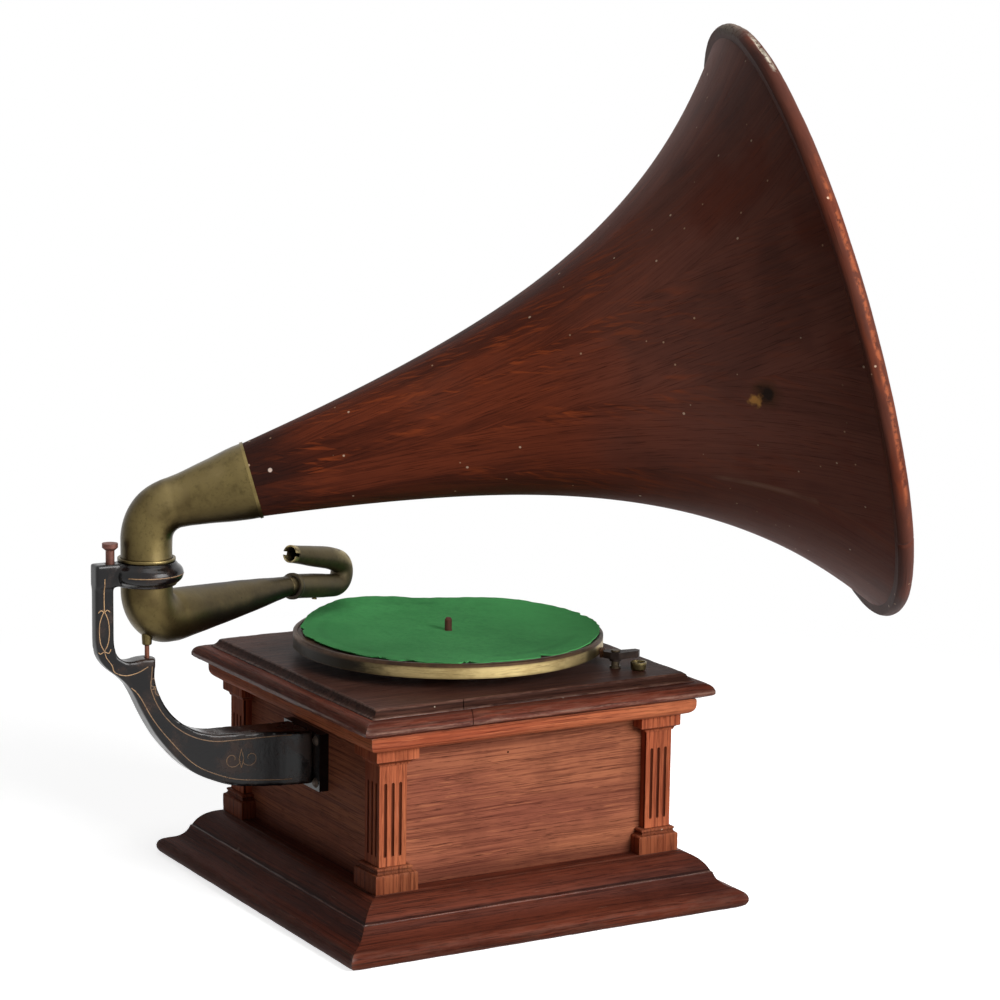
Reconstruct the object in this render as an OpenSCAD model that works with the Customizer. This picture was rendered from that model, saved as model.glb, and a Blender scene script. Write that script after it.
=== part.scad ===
// Horn gramophone with a rear bracket, a taper arm and a wooden horn.
// The origin is the centre of the base on the floor, under the turntable's axis.
// The front faces -Y, the bracket is on the back (+Y) and the crank is on the +X side.

/* [Plinth] */
// Half width of the foot on the floor
foot_half = 221; // [205:1:240]
// Height of the plinth
plinth_h = 52.5; // [46:0.5:60]
// How far the plinth reaches in under the panels
plinth_lap = 13; // [12:1:21]
// Width of the flat shelf that the plinth shows round the panels
plinth_shelf = 18.3; // [17:0.1:21]
// Thickness of the bottom board
bottom_board_t = 10; // [6:1:14]

/* [Cabinet] */
// Half width over the outer faces of the panels
panel_half = 153; // [150:0.5:155]
// How far the corner posts stand proud of the panels
post_proud = 9.5; // [5:0.5:11]
// Width of a corner post's face
post_w = 29; // [26:0.5:32]
// Thickness of a panel
panel_t = 8.5; // [6:0.5:12]
// Height from the plinth to the cornice
wall_h = 138.5; // [132:0.5:160]
// How far the capitals and base blocks stand proud of the posts
block_proud = 6.3; // [4:0.1:7]
// Width of a capital or base block along the panel
block_w = 45; // [40:0.5:50]
// Height of a capital's block
capital_h = 11; // [8:0.5:14]
// Height of a post's base block
base_block_h = 14; // [10:0.5:18]
// Height of the bead that joins a block to its post
bead_h = 3; // [2:0.5:5]
// How far a bead stands proud of the post
bead_proud = 2.6; // [1:0.1:3.5]
// Number of flutes on each face of a post
flutes = 3; // [1:1:4]
// Width of a flute
flute_w = 3.4; // [2:0.1:4]
// Depth of a flute
flute_d = 1.6; // [0.8:0.1:1.7]
// Spacing of the flutes
flute_pitch = 7.9; // [6:0.1:9]
// Length of a flute
flute_len = 72; // [50:1:84]

/* [Top] */
// Height of the cornice moulding
cornice_h = 16.5; // [14:0.5:20]
// How far the cornice moulding stands out from the panels
cornice_out = 27; // [24:0.5:30]
// Height of the lid moulding
lid_h = 16.5; // [15.5:0.5:20]
// How far the lip of the lid moulding stands out from the cornice
lid_out = 13.4; // [10:0.1:18]
// Width that the lid and cornice mouldings cover inwards
rail_w = 30; // [26:1:36]
// Thickness of the motor board
board_t = 8.6; // [8.6:0.1:11]
// How far the motor board's flat top reaches over the panels
board_out = 17.6; // [15:0.1:20]

/* [Turntable] */
// Outer radius of the turntable over its rim band
turntable_r = 155; // [150:0.5:156]
// Thickness of the rim band
rim_band_t = 1; // [0.6:0.1:2]
// Height of the rim band
rim_band_h = 11; // [8:0.5:12]
// Height of the dark bead above the rim band
rim_bead_h = 3.2; // [2:0.1:4]
// Gap between the motor board and the turntable's rim
rim_lift = 11.4; // [8:0.1:14]
// Thickness of the turntable's disc
disc_t = 3; // [2:0.5:5]
// Thickness of the felt
felt_t = 1.8; // [1:0.1:3]
// Radius of the felt
felt_r = 150.4; // [146:0.1:151]
// Radius of the spindle where a record sits
spindle_r = 3.6; // [3:0.1:3.9]
// Radius of the spindle inside the machine
shaft_r = 4.2; // [4:0.1:5]
// Height of the spindle above the felt
spindle_up = 13; // [8:0.5:18]
// Radius of the hub under the disc
hub_r = 11; // [8:0.5:14]

/* [Motor] */
// Radial running clearance of a shaft in its hole
run_fit = 0.05; // [0.03:0.01:0.09]
// Gap left between parts that turn past each other
side_gap = 0.5; // [0.3:0.1:1]
// Depth of the spacers between the motor board and the motor
spacer_h = 14; // [12:1:18]
// Thickness of a motor plate
plate_t = 4; // [3:0.5:6]
// Height between the two motor plates
motor_h = 74; // [72:1:78]
// Radius of a motor pillar
pillar_r = 5; // [4:0.5:6]
// Radius of a motor bolt
bolt_r = 3; // [2.5:0.5:3.5]
// Module of the first gear pair
drum_module = 1.5; // [1.5:0.1:1.6]
// Teeth on the barrel's gear
drum_teeth = 60; // [56:1:60]
// Teeth on the intermediate pinion
mid_pinion_teeth = 12; // [12:1:14]
// Module of the second gear pair
mid_module = 1; // [1:0.05:1.1]
// Teeth on the intermediate wheel
mid_wheel_teeth = 54; // [50:1:56]
// Teeth on the spindle's pinion
spindle_pinion_teeth = 12; // [12:1:14]
// Radius of the barrel arbor
arbor_r = 5; // [4:0.5:6]
// Radius of the intermediate arbor
mid_arbor_r = 3; // [2:0.5:4]
// Outer radius of the spring barrel's wall
drum_r = 42; // [38:0.5:42.5]
// Wall of the spring barrel
drum_wall = 1.5; // [1:0.1:3]
// Height of the spring barrel
drum_h = 40; // [34:1:42]
// Thickness of the mainspring
spring_t = 0.9; // [0.6:0.1:1.2]
// Turns of the mainspring
spring_turns = 7; // [4:1:9]
// Thickness of the barrel's gear
drum_gear_t = 5; // [4:0.5:6]
// Thickness of the intermediate wheel
mid_wheel_t = 2.5; // [2:0.5:3]

/* [Governor] */
// Teeth on the spindle's worm wheel
worm_wheel_teeth = 40; // [36:1:40]
// Threads on the governor's worm
worm_starts = 4; // [3:1:5]
// Core radius of the governor's worm
worm_core_r = 3.4; // [3:0.1:3.6]
// Outer radius of the governor's worm
worm_tip_r = 4.9; // [4.6:0.1:5]
// Radius of the governor's shaft
governor_shaft_r = 2; // [1.5:0.1:2.5]
// Radius of a governor weight
weight_r = 6; // [5:0.5:6.5]
// Distance of the weights from the governor's shaft
weight_out = 13; // [12:0.5:15]
// Radius of the governor's friction disc
governor_disc_r = 14; // [12:0.5:16]

/* [Winding] */
// Radius of the winding shaft
winding_r = 5; // [4:0.5:6]
// Teeth on the winding pinion
winding_pinion_teeth = 12; // [12:1:12]
// Teeth on the crown wheel
crown_teeth = 32; // [32:1:32]
// Distance of the crank's arm from the panel
crank_reach = 53; // [50:1:60]
// Length of the crank's arm
crank_arm = 95; // [80:1:98]
// Radius of the crank's rod
crank_rod_r = 4.5; // [4:0.5:5]
// Length of the crank's wooden grip
grip_len = 68; // [55:1:80]
// Largest radius of the grip
grip_r = 10.5; // [9:0.5:11]
// Radius of the escutcheon
escutcheon_r = 19; // [16:0.5:24]
// Thickness of the escutcheon
escutcheon_t = 2.4; // [1.5:0.1:4]

/* [Brake] */
// Radius of the brake's stud
stud_r = 3; // [2.5:0.1:3.5]
// Height of the brake lever's underside over the board
lever_lift = 9.6; // [7:0.1:11]
// Thickness of the brake lever
lever_t = 6.5; // [4:0.5:8]
// Gap between the brake pad and the rim
pad_gap = 0.4; // [0.3:0.1:1]
// Outer radius of the needle cup
cup_r = 8; // [6:0.5:10]
// Height of the needle cup
cup_h = 8.4; // [6:0.1:12]

/* [Bracket] */
// Distance of the bracket's ring axis behind the spindle
ring_y = 326.5; // [322:0.5:332]
// Height of the ring's middle
ring_z = 345; // [340:0.5:352]
// Height of the ring
ring_h = 24; // [20:1:26]
// Outer radius of the ring at its bulge
ring_out_r = 35.2; // [33:0.1:37]
// Half width of the post in X
post_hw = 6.5; // [5:0.5:8]
// Thickness of the post in Y
post_t = 18; // [15:0.5:22]
// Gap from the arm tube to the post
post_gap = 11.5; // [10:0.5:14]
// Half width of the wall plate
plate_hw = 39; // [34:0.5:44]
// Thickness of the wall plate
wall_plate_t = 10; // [7:0.5:12]
// Height of the wall plate
wall_plate_h = 57; // [54:1:64]
// Radius of the pivot pin
pivot_r = 2.25; // [1.8:0.05:3]
// Radius of the thumbscrew's head
thumb_head_r = 7.5; // [6:0.5:9]

/* [Tone arm] */
// Outer radius of the tubes in the ring
tube_r = 24.5; // [24:0.1:25.5]
// Wall of the brass tubes
tube_wall = 1.4; // [1:0.1:2]
// Height of the arm's centre line
arm_z = 298.5; // [297:0.5:302]
// Radius of the bend under the ring
arm_bend_r = 30; // [28:0.5:32]
// Distance from the ring's axis to the end of the taper
arm_reach = 211; // [200:1:216]
// Outer radius at the small end of the taper
arm_tip_r = 9.9; // [9.4:0.1:10.6]
// Distance from the ring's axis to the middle of the taper
arm_mid_at = 137; // [120:1:150]
// Outer radius at the middle of the taper
arm_mid_r = 17.5; // [16:0.1:19]
// Swell of the arm where the taper begins
arm_swell = 0.9; // [0.4:0.1:1.5]
// Turn of the arm towards the crank's side
arm_az = 25; // [20:1:28]
// Downward tilt of the gooseneck's sleeve
neck_tilt = 8; // [6:1:10]
// Length of the gooseneck's sleeve leg
neck_leg = 75; // [72:1:88]
// Outer radius of the sleeve leg
neck_r = 12.3; // [12:0.1:13]
// Radius of the gooseneck's bend
neck_bend_r = 12.8; // [12.6:0.1:13.6]
// Outer radius of the tube in the bend
neck_tube_r = 11.6; // [11:0.1:12]
// Turn of the bend
neck_turn = 165.5; // [160:0.5:178]
// Radius of the soft bend in the leg that holds a sound box
box_bend_r = 120; // [90:5:160]
// Turn of the soft bend
box_turn = 10.5; // [4:0.5:14]
// Length of the straight part of the leg that holds a sound box
box_leg = 57; // [50:1:64]
// Outer radius of the gooseneck's open end
neck_end_r = 9; // [8.6:0.1:9.6]
// Length of the plain cylinder at the open end
neck_end_len = 10; // [8:0.5:12]

/* [Horn] */
// Turn of the horn from straight ahead
horn_az = 23.3; // [0:0.1:30]
// Rise of the horn's axis
horn_tilt = 16; // [14:0.1:18]
// Height at which the horn's axis meets the ring's axis
horn_z = 404.4; // [402:0.1:408]
// Radius of the elbow's bend
elbow_bend_r = 36; // [34:0.5:38]
// Distance of the horn's small end from the ring's axis
throat_at = 104; // [100:1:110]
// Outer radius of the elbow's wide end
elbow_end_r = 36.4; // [35:0.1:37]
// Outer radius of the horn's small end
throat_r = 35.8; // [35:0.1:36.2]
// Length of the horn from its small end to the rim
horn_len = 537; // [520:1:545]
// Steady taper of the horn
horn_taper = 0.1165; // [0.09:0.0005:0.13]
// Size of the horn's flare
horn_flare = 5.3; // [4.5:0.01:6]
// How fast the horn flares
horn_growth = 3.56; // [3.4:0.01:3.7]
// Thickness of the horn's wood
horn_wall = 4.6; // [4:0.1:6]
// Radius of the roll round the horn's mouth
roll_r = 9.6; // [8.5:0.1:10]

/* [Hidden] */
$fn = 96;
mitre_gap = 0.05;
// How far a tube laps the far end of a bend, and how much thinner a bend is
lap = 1;
step = 0.3;

// Heights of the cabinet
wall_top = plinth_h + wall_h;
cornice_top = wall_top + cornice_h;
lid_top = cornice_top + lid_h;
board_top = lid_top + board_t;
plinth_inner = panel_half - plinth_lap;
plinth_top_half = panel_half + plinth_shelf;
cornice_half = panel_half + cornice_out;
lid_half = cornice_half + lid_out;
board_half = panel_half + board_out;
rail_inner = cornice_half - rail_w;
post_half = panel_half + post_proud;
post_in = post_half - post_w;
panel_in = panel_half - panel_t;
block_out = post_half + block_proud;

// Heights of the turntable
rim_z = board_top + rim_lift;
bead_z = rim_z + rim_band_h;
rim_top = bead_z + rim_bead_h;
felt_z = rim_top - felt_t;
felt_top = rim_top;
platter_r = turntable_r - rim_band_t;
spindle_top = felt_top + spindle_up;

// Places of the motor
upper_plate_z = lid_top - spacer_h - plate_t;
lower_plate_z = upper_plate_z - motor_h - plate_t;
floor_z = lower_plate_z + plate_t;
mid_x = mid_module * (mid_wheel_teeth + spindle_pinion_teeth) / 2;
drum_x = mid_x + drum_module * (drum_teeth + mid_pinion_teeth) / 2;
mid_wheel_z = upper_plate_z - 3 - mid_wheel_t;
drum_gear_z = mid_wheel_z - 3 - drum_gear_t;
drum_z = drum_gear_z - drum_h;
cover_t = 2;
motor_plate = [190, 120];
motor_plate_x = 34;
bolt_at = [82, 48];
governor_z = drum_z + 4;
worm_x = -(worm_wheel_teeth / 2 + worm_core_r + 1.1);
governor_half = 55;
governor_hub = 5;
governor_disc_y = -46;
crown_t = 3;
crown_depth = 2.4;
crown_mean_r = crown_teeth / 2;
pinion_root = winding_pinion_teeth / 2 - 1.15;
pinion_tip = winding_pinion_teeth / 2 + 0.85;
winding_z = floor_z + pinion_tip + 1;
crown_z = winding_z + pinion_root + 0.35 + crown_depth;
winding_bearing_x = drum_x + arbor_r + 1.5;
crank_x = panel_half + crank_reach;
ratchet_z = upper_plate_z + plate_t + side_gap;
ratchet_t = 4;
pawl_at = [drum_x - 20, 16.8];

// The speed regulator
speed_at = [120, -128];
speed_r = 3;
cam_r = 2;
cam_off = 1.2;
lever_at = [40, -86];
lever_z = upper_plate_z + plate_t + 3.5;
lever_drop_y = -motor_plate.y / 2 - 6.5;
pad_at_x = worm_x - 9.5;

// Places of the bracket, the arm and the horn
ring_top = ring_z + ring_h / 2;
ring_bottom = ring_z - ring_h / 2;
ring_bore = tube_r + run_fit;
post_y = ring_y + tube_r + post_gap;
arm_top = ring_top - 7;
arm_bend_z = arm_z + arm_bend_r;
boss_top = 263.5;
boss_r = 8;
arm_boss_r = 4.8;
arm_boss_z = 275;
spigot_len = 54;
elbow_bend_z = horn_z + elbow_bend_r * tan(horn_tilt) - elbow_bend_r / cos(horn_tilt);
elbow_turn = 90 - horn_tilt;
elbow_out_at = elbow_bend_r * (1 - sin(horn_tilt)) / cos(horn_tilt);
wood_screw_at = [31, 21];
wood_screw_r = 2.5;
plate_z = 120.5;
bracket_face = panel_half + wall_plate_t;
thumb_r = 4.2;
thumb_y = post_y + 1;
neck_screw_at = 46;
neck_start = 6;

// Places on the motor board
pad_r = turntable_r + pad_gap;
brake_way = 224.7642;
brake_off = 16.4284;
brake_at = [(pad_r + brake_off) * cos(brake_way), (pad_r + brake_off) * sin(brake_way)];
pad_way = 227.0096;
cup_at = [brake_at.x - 19, brake_at.y - 15];

// Points of an arc, with the angles in degrees
function arc(c, r, from, to, n = 8) =
    [for (i = [0:n]) c + r * [cos(from + (to - from) * i / n), sin(from + (to - from) * i / n)]];

// A smooth curve through points, with n steps from each point to the next
function curve(p, n = 4) = concat(
    [for (i = [0:len(p) - 2], k = [0:n - 1])
        let (a = p[max(i - 1, 0)], b = p[i], c = p[i + 1], d = p[min(i + 2, len(p) - 1)], t = k / n)
        (2 * b + (c - a) * t + (2 * a - 5 * b + 4 * c - d) * t * t + (3 * b - a - 3 * c + d) * t * t * t) / 2],
    [p[len(p) - 1]]);

// Outer radius of the horn at a distance from its small end
function horn_r(t) = throat_r + horn_taper * t + horn_flare * (exp(horn_growth * t / horn_len) - 1);

// Puts its children on each of the four sides
module four_sides() {
    for (turn = [0:90:270])
        rotate(turn)
            children();
}

// A frame of four mitred mouldings, from a profile of distance and height
module mitred_frame(profile, reach) {
    four_sides()
        intersection() {
            rotate([90, 0, 0])
                linear_extrude(2 * reach, center = true)
                    polygon(profile);
            linear_extrude(400)
                polygon([[mitre_gap, 0], [reach, mitre_gap - reach], [reach, reach - mitre_gap]]);
        }
}

// An L round a corner post: a square out to a half width, less the inside
module corner_wrap(out, z, h, along) {
    four_sides()
        difference() {
            translate([out - along, out - along, z])
                cube([along, along, h]);
            translate([0, 0, z - 1])
                cube([panel_half, panel_half, h + 2]);
        }
}

// Points of a spur gear's outline
function gear_points(teeth, mod) =
    let (rt = mod * (teeth / 2 + 0.85), rr = mod * (teeth / 2 - 1.15), p = 360 / teeth)
    [for (i = [0:teeth - 1], k = [0:3])
        (k == 0 || k == 3 ? rr : rt) * [cos(p * (i + [-0.3, -0.12, 0.12, 0.3][k])),
                                        sin(p * (i + [-0.3, -0.12, 0.12, 0.3][k]))]];

// A spur gear on the Z axis, with its first tooth turned to an angle
module gear(teeth, mod, h, turn = 0) {
    rotate(turn)
        linear_extrude(h)
            polygon(gear_points(teeth, mod));
}

// A tube on the Z axis
module tube(r, wall, h) {
    difference() {
        cylinder(r = r, h = h);
        translate([0, 0, -1])
            cylinder(r = r - wall, h = h + 2);
    }
}

// Puts its children on the horn's axis, with +Z along it
module on_horn_axis(at = 0) {
    translate([0, ring_y, horn_z])
        rotate([90 - horn_tilt, 0, -horn_az])
            translate([0, 0, at])
                children();
}

// Turns its children so that +X runs along the tone arm from the ring's axis
module along_arm() {
    translate([0, ring_y, 0])
        rotate(-90 + arm_az)
            children();
}

// Puts its children at the end of the taper, with +X along the sleeve
module on_neck() {
    along_arm()
        translate([arm_reach, 0, arm_z])
            rotate([0, neck_tilt, 0])
                children();
}

// Cabinet

module plinth_mouldings() {
    profile = concat(
        [[plinth_inner, 0]],
        arc([foot_half - 9, 8], 9, -62, 72, 8),
        arc([foot_half - 8, 37], 19, 256, 189, 8),
        arc([plinth_top_half - 6.3, plinth_h - 30.5], 30.3, 24, 78, 8),
        [[plinth_top_half - 1.5, plinth_h], [plinth_inner, plinth_h]]);
    color([0.36, 0.16, 0.1])
        mitred_frame(profile, foot_half + 1);
}

module bottom_board() {
    color([0.4, 0.26, 0.15])
        translate([-plinth_inner, -plinth_inner, 0])
            cube([2 * plinth_inner, 2 * plinth_inner, bottom_board_t]);
}

module side_panel() {
    translate([-post_in, -panel_half, plinth_h])
        cube([2 * post_in, panel_t, wall_h]);
}

module front_panel() {
    color([0.42, 0.18, 0.1])
        side_panel();
}

module back_panel() {
    color([0.42, 0.18, 0.1])
        difference() {
            rotate(180)
                side_panel();
            plate_screw_places()
                translate([0, 0, 2 - panel_t])
                    cylinder(r = wood_screw_r, h = panel_t + 1);
        }
}

module left_panel() {
    color([0.42, 0.18, 0.1])
        rotate(-90)
            side_panel();
}

module right_panel() {
    color([0.42, 0.18, 0.1])
        difference() {
            rotate(90)
                side_panel();
            translate([panel_in - 1, 0, winding_z])
                rotate([0, 90, 0])
                    cylinder(r = winding_r + 3, h = panel_t + 2);
        }
}

// A flute with round ends, cut into the face of a post at +X
module flute(y) {
    mid = plinth_h + wall_h / 2;
    translate([post_half + flute_w / 2 - flute_d, y, mid]) {
        cylinder(r = flute_w / 2, h = flute_len - flute_w, center = true, $fn = 24);
        for (end = [-1, 1])
            translate([0, 0, end * (flute_len - flute_w) / 2])
                sphere(r = flute_w / 2, $fn = 24);
    }
}

module corner_posts() {
    full_z = plinth_h + base_block_h;
    full_h = wall_h - base_block_h - capital_h;
    middle = post_half - post_w / 2;
    color([0.45, 0.19, 0.1])
        four_sides()
            difference() {
                union() {
                    translate([post_in, post_in, plinth_h])
                        cube([panel_half - post_in, panel_half - post_in, wall_h]);
                    translate([post_in, post_in, full_z])
                        cube([post_w, post_w, full_h]);
                }
                for (i = [0:flutes - 1]) {
                    off = (i - (flutes - 1) / 2) * flute_pitch;
                    flute(middle + off);
                    mirror([1, -1, 0])
                        flute(middle + off);
                }
            }
}

module post_capitals() {
    color([0.45, 0.19, 0.1]) {
        corner_wrap(block_out, wall_top - capital_h, capital_h, block_w);
        bead_wrap(wall_top - capital_h - bead_h);
    }
}

// The bead on a post, clear of the panel's face
module bead_wrap(z) {
    out = post_half + bead_proud;
    four_sides()
        difference() {
            translate([post_in, post_in, z])
                cube([out - post_in, out - post_in, bead_h]);
            translate([0, 0, z - 1])
                cube([post_half, post_half, bead_h + 2]);
        }
}

module post_bases() {
    color([0.45, 0.19, 0.1]) {
        corner_wrap(block_out, plinth_h, base_block_h, block_w);
        bead_wrap(plinth_h + base_block_h);
    }
}

module cornice_mouldings() {
    profile = concat(
        [[rail_inner, wall_top]],
        arc([cornice_half - 9.6, wall_top + 9.6], 9.6, -90, 0, 8),
        [[cornice_half, cornice_top], [rail_inner, cornice_top]]);
    color([0.4, 0.16, 0.09])
        mitred_frame(profile, cornice_half + 1);
}

module lid_mouldings() {
    profile = concat(
        [[rail_inner, cornice_top], [cornice_half, cornice_top], [lid_half - 1.8, cornice_top + 4.4]],
        arc([lid_half - 9.6, lid_top - 9.6], 9.6, -12, 90, 10),
        [[rail_inner, lid_top]]);
    color([0.27, 0.11, 0.07])
        mitred_frame(profile, lid_half + 1);
}

module board_profile() {
    edge = board_half + 8;
    half_edge = concat(
        [[edge, lid_top], [edge - 0.8, lid_top + 1.4]],
        arc([board_half + 9.4, board_top + 0.9], 8.4, 248, 192, 7),
        [[board_half, board_top]]);
    polygon(concat(half_edge, [for (i = [len(half_edge) - 1:-1:0]) [-half_edge[i].x, half_edge[i].y]]));
}

module motor_board() {
    color([0.24, 0.1, 0.06])
        difference() {
            intersection() {
                rotate([90, 0, 0])
                    linear_extrude(500, center = true)
                        board_profile();
                rotate([90, 0, 90])
                    linear_extrude(500, center = true)
                        board_profile();
            }
            translate([0, 0, lid_top - 1])
                cylinder(r = hub_r + 2, h = board_t + 2);
            bolt_places()
                translate([0, 0, lid_top - 1])
                    cylinder(r = bolt_r, h = board_t + 2);
            translate([speed_at.x, speed_at.y, lid_top - 1])
                cylinder(r = speed_r + run_fit, h = board_t + 2);
            translate([brake_at.x, brake_at.y, board_top - 6])
                cylinder(r = stud_r, h = 7);
        }
}

// Turntable

module turntable_platter() {
    color([0.3, 0.22, 0.14])
        rotate_extrude()
            polygon([[shaft_r, felt_z - disc_t], [shaft_r, felt_z],
                     [felt_r, felt_z], [felt_r, rim_top - 0.4],
                     [felt_r + 1.2, rim_top + 0.3], [turntable_r - 1.4, rim_top + 0.3],
                     [turntable_r, rim_top - 0.8], [turntable_r, bead_z], [platter_r, bead_z],
                     [platter_r, rim_z], [platter_r - 3, rim_z], [platter_r - 3, felt_z - disc_t]]);
}

module rim_band() {
    color([0.72, 0.62, 0.38])
        translate([0, 0, rim_z])
            tube(turntable_r, rim_band_t, rim_band_h);
}

module turntable_felt() {
    color([0.16, 0.55, 0.3])
        translate([0, 0, felt_z])
            difference() {
                cylinder(r = felt_r, h = felt_t);
                translate([0, 0, -1])
                    cylinder(r = shaft_r, h = felt_t + 2);
            }
}

module spindle() {
    turn = mid_wheel_teeth % 2 == 0 ? 180 / spindle_pinion_teeth : 0;
    collar_z = upper_plate_z + plate_t + side_gap;
    color([0.5, 0.44, 0.4]) {
        translate([0, 0, lower_plate_z])
            cylinder(r = shaft_r, h = felt_top - lower_plate_z);
        translate([0, 0, felt_top])
            cylinder(r = spindle_r, h = spindle_up - 2);
        translate([0, 0, spindle_top - 2])
            cylinder(r1 = spindle_r, r2 = spindle_r - 1.4, h = 2);
        translate([0, 0, collar_z])
            cylinder(r = hub_r, h = felt_z - disc_t - collar_z);
        translate([0, 0, mid_wheel_z - 1])
            gear(spindle_pinion_teeth, mid_module, mid_wheel_t + 2, turn);
        translate([0, 0, governor_z - 5])
            cylinder(r = shaft_r + 2, h = 3.8);
    }
}

module worm_wheel() {
    color([0.55, 0.35, 0.18])
        translate([0, 0, governor_z - 1.2])
            difference() {
                linear_extrude(2.4)
                    polygon(worm_wheel_points());
                translate([0, 0, -1])
                    cylinder(r = shaft_r, h = 5);
            }
}

// Narrow teeth that run between the worm's threads
function worm_wheel_points() =
    let (rt = worm_wheel_teeth / 2 + 0.4, rr = worm_wheel_teeth / 2 - 1.4, p = 360 / worm_wheel_teeth)
    [for (i = [0:worm_wheel_teeth - 1], k = [0:3])
        (k == 0 || k == 3 ? rr : rt) * [cos(p * (i + [-0.25, -0.1, 0.1, 0.25][k])),
                                        sin(p * (i + [-0.25, -0.1, 0.1, 0.25][k]))]];

// Motor

module bolt_places() {
    for (sx = [-1, 1], sy = [-1, 1])
        translate([motor_plate_x + sx * bolt_at.x, sy * bolt_at.y, 0])
            children();
}

// One motor plate, with a running hole for each upright shaft
module motor_plate_at(z) {
    translate([motor_plate_x, 0, z])
        difference() {
            linear_extrude(plate_t)
                square(motor_plate, center = true);
            translate([-motor_plate_x, 0, -1]) {
                cylinder(r = shaft_r + run_fit, h = plate_t + 2);
                translate([mid_x, 0, 0])
                    cylinder(r = mid_arbor_r + run_fit, h = plate_t + 2);
                translate([drum_x, 0, 0])
                    cylinder(r = arbor_r + run_fit, h = plate_t + 2);
            }
            translate([-motor_plate_x, 0, -1])
                bolt_places()
                    cylinder(r = bolt_r, h = plate_t + 2);
        }
}

module motor_plates() {
    color([0.35, 0.35, 0.36]) {
        motor_plate_at(upper_plate_z);
        motor_plate_at(lower_plate_z);
    }
}

module motor_pillars() {
    color([0.5, 0.5, 0.5])
        bolt_places()
            translate([0, 0, floor_z])
                difference() {
                    cylinder(r = pillar_r, h = motor_h);
                    translate([0, 0, motor_h - 12])
                        cylinder(r = bolt_r, h = 13);
                }
}

module motor_spacers() {
    color([0.15, 0.12, 0.1])
        bolt_places()
            translate([0, 0, upper_plate_z + plate_t])
                tube(9, 9 - bolt_r, spacer_h);
}

module motor_bolts() {
    head_h = 3;
    color([0.45, 0.4, 0.35])
        bolt_places() {
            translate([0, 0, board_top])
                cylinder(r = bolt_r + 3, h = head_h);
            translate([0, 0, upper_plate_z - 10])
                cylinder(r = bolt_r, h = board_top - upper_plate_z + 10);
        }
}

module spring_barrel() {
    turn = drum_teeth % 2 == 0 ? 180 / drum_teeth : 0;
    color([0.55, 0.5, 0.4])
        translate([drum_x, 0, 0])
            difference() {
                union() {
                    translate([0, 0, drum_z])
                        tube(drum_r, drum_wall, drum_h);
                    translate([0, 0, drum_gear_z])
                        gear(drum_teeth, drum_module, drum_gear_t, turn);
                }
                translate([0, 0, drum_z])
                    cylinder(r = arbor_r + run_fit, h = drum_h + drum_gear_t + 1);
            }
}

module barrel_cover() {
    color([0.6, 0.55, 0.42])
        translate([drum_x, 0, drum_z])
            difference() {
                cylinder(r = drum_r - drum_wall, h = cover_t);
                translate([0, 0, -1])
                    cylinder(r = arbor_r + run_fit, h = cover_t + 2);
            }
}

// A flat spiral band, wound from the arbor out to the barrel's wall
module mainspring() {
    per_turn = 24;
    steps = spring_turns * per_turn;
    inner = arbor_r + 1.2;
    outer = drum_r - drum_wall - spring_t - 0.3;
    mid = [for (i = [0:steps]) inner + (outer - inner) * i / steps];
    color([0.3, 0.3, 0.34])
        translate([drum_x, 0, drum_z + cover_t])
            linear_extrude(drum_h - cover_t - side_gap)
                polygon(concat(
                    [for (i = [0:steps]) mid[i] * [cos(360 * i / per_turn), sin(360 * i / per_turn)]],
                    [for (i = [steps:-1:0]) (mid[i] + spring_t) * [cos(360 * i / per_turn), sin(360 * i / per_turn)]]));
}

module barrel_arbor() {
    color([0.5, 0.5, 0.52])
        translate([drum_x, 0, 0]) {
            translate([0, 0, lower_plate_z])
                cylinder(r = arbor_r, h = upper_plate_z + plate_t + 8 - lower_plate_z);
            translate([0, 0, crown_z])
                cylinder(r = crown_mean_r + 2.4, h = crown_t);
            for (i = [0:crown_teeth - 1])
                rotate(360 / crown_teeth * (i + 0.5))
                    translate([crown_mean_r - 2, -0.5, crown_z - crown_depth])
                        cube([4, 1, crown_depth + 0.5]);
        }
}

module ratchet_wheel() {
    teeth = 16;
    p = 360 / teeth;
    color([0.5, 0.45, 0.4])
        translate([drum_x, 0, ratchet_z])
            difference() {
                linear_extrude(ratchet_t)
                    polygon([for (i = [0:teeth - 1], k = [0, 1])
                        (k == 0 ? 14 : 11.6) * [cos(p * (i + 0.05 * k)), sin(p * (i + 0.05 * k))]]);
                translate([0, 0, -1])
                    cylinder(r = arbor_r, h = 6);
            }
}

module ratchet_pawl() {
    color([0.45, 0.42, 0.4])
        translate([pawl_at.x, pawl_at.y, ratchet_z])
            difference() {
                linear_extrude(ratchet_t)
                    polygon([[19.2, -2.3], [19.2, 0], [13, 3], [2, 4.5], [-4, 3], [-4.5, -3],
                             [2, -4.5], [13, -1.6]]);
                translate([0, 0, -1])
                    cylinder(r = 2.5 + run_fit, h = 6);
            }
}

module pawl_stud() {
    color([0.6, 0.58, 0.55])
        translate([pawl_at.x, pawl_at.y, upper_plate_z + plate_t]) {
            cylinder(r = 4, h = side_gap);
            cylinder(r = 2.5, h = ratchet_t + 2 * side_gap);
            translate([0, 0, ratchet_t + 2 * side_gap])
                cylinder(r = 4, h = 1.5);
        }
}

// A leaf that presses the pawl down, standing on its own foot
module pawl_spring() {
    color([0.35, 0.38, 0.45])
        translate([pawl_at.x, pawl_at.y, upper_plate_z + plate_t])
            linear_extrude(ratchet_t)
                polygon([[-12, 12], [-12, 6.6], [-6, 6.6], [-6, 8.6], [15.8, 4.2], [16, 4.9],
                         [-6, 10.2], [-6, 12]]);
}

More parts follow.
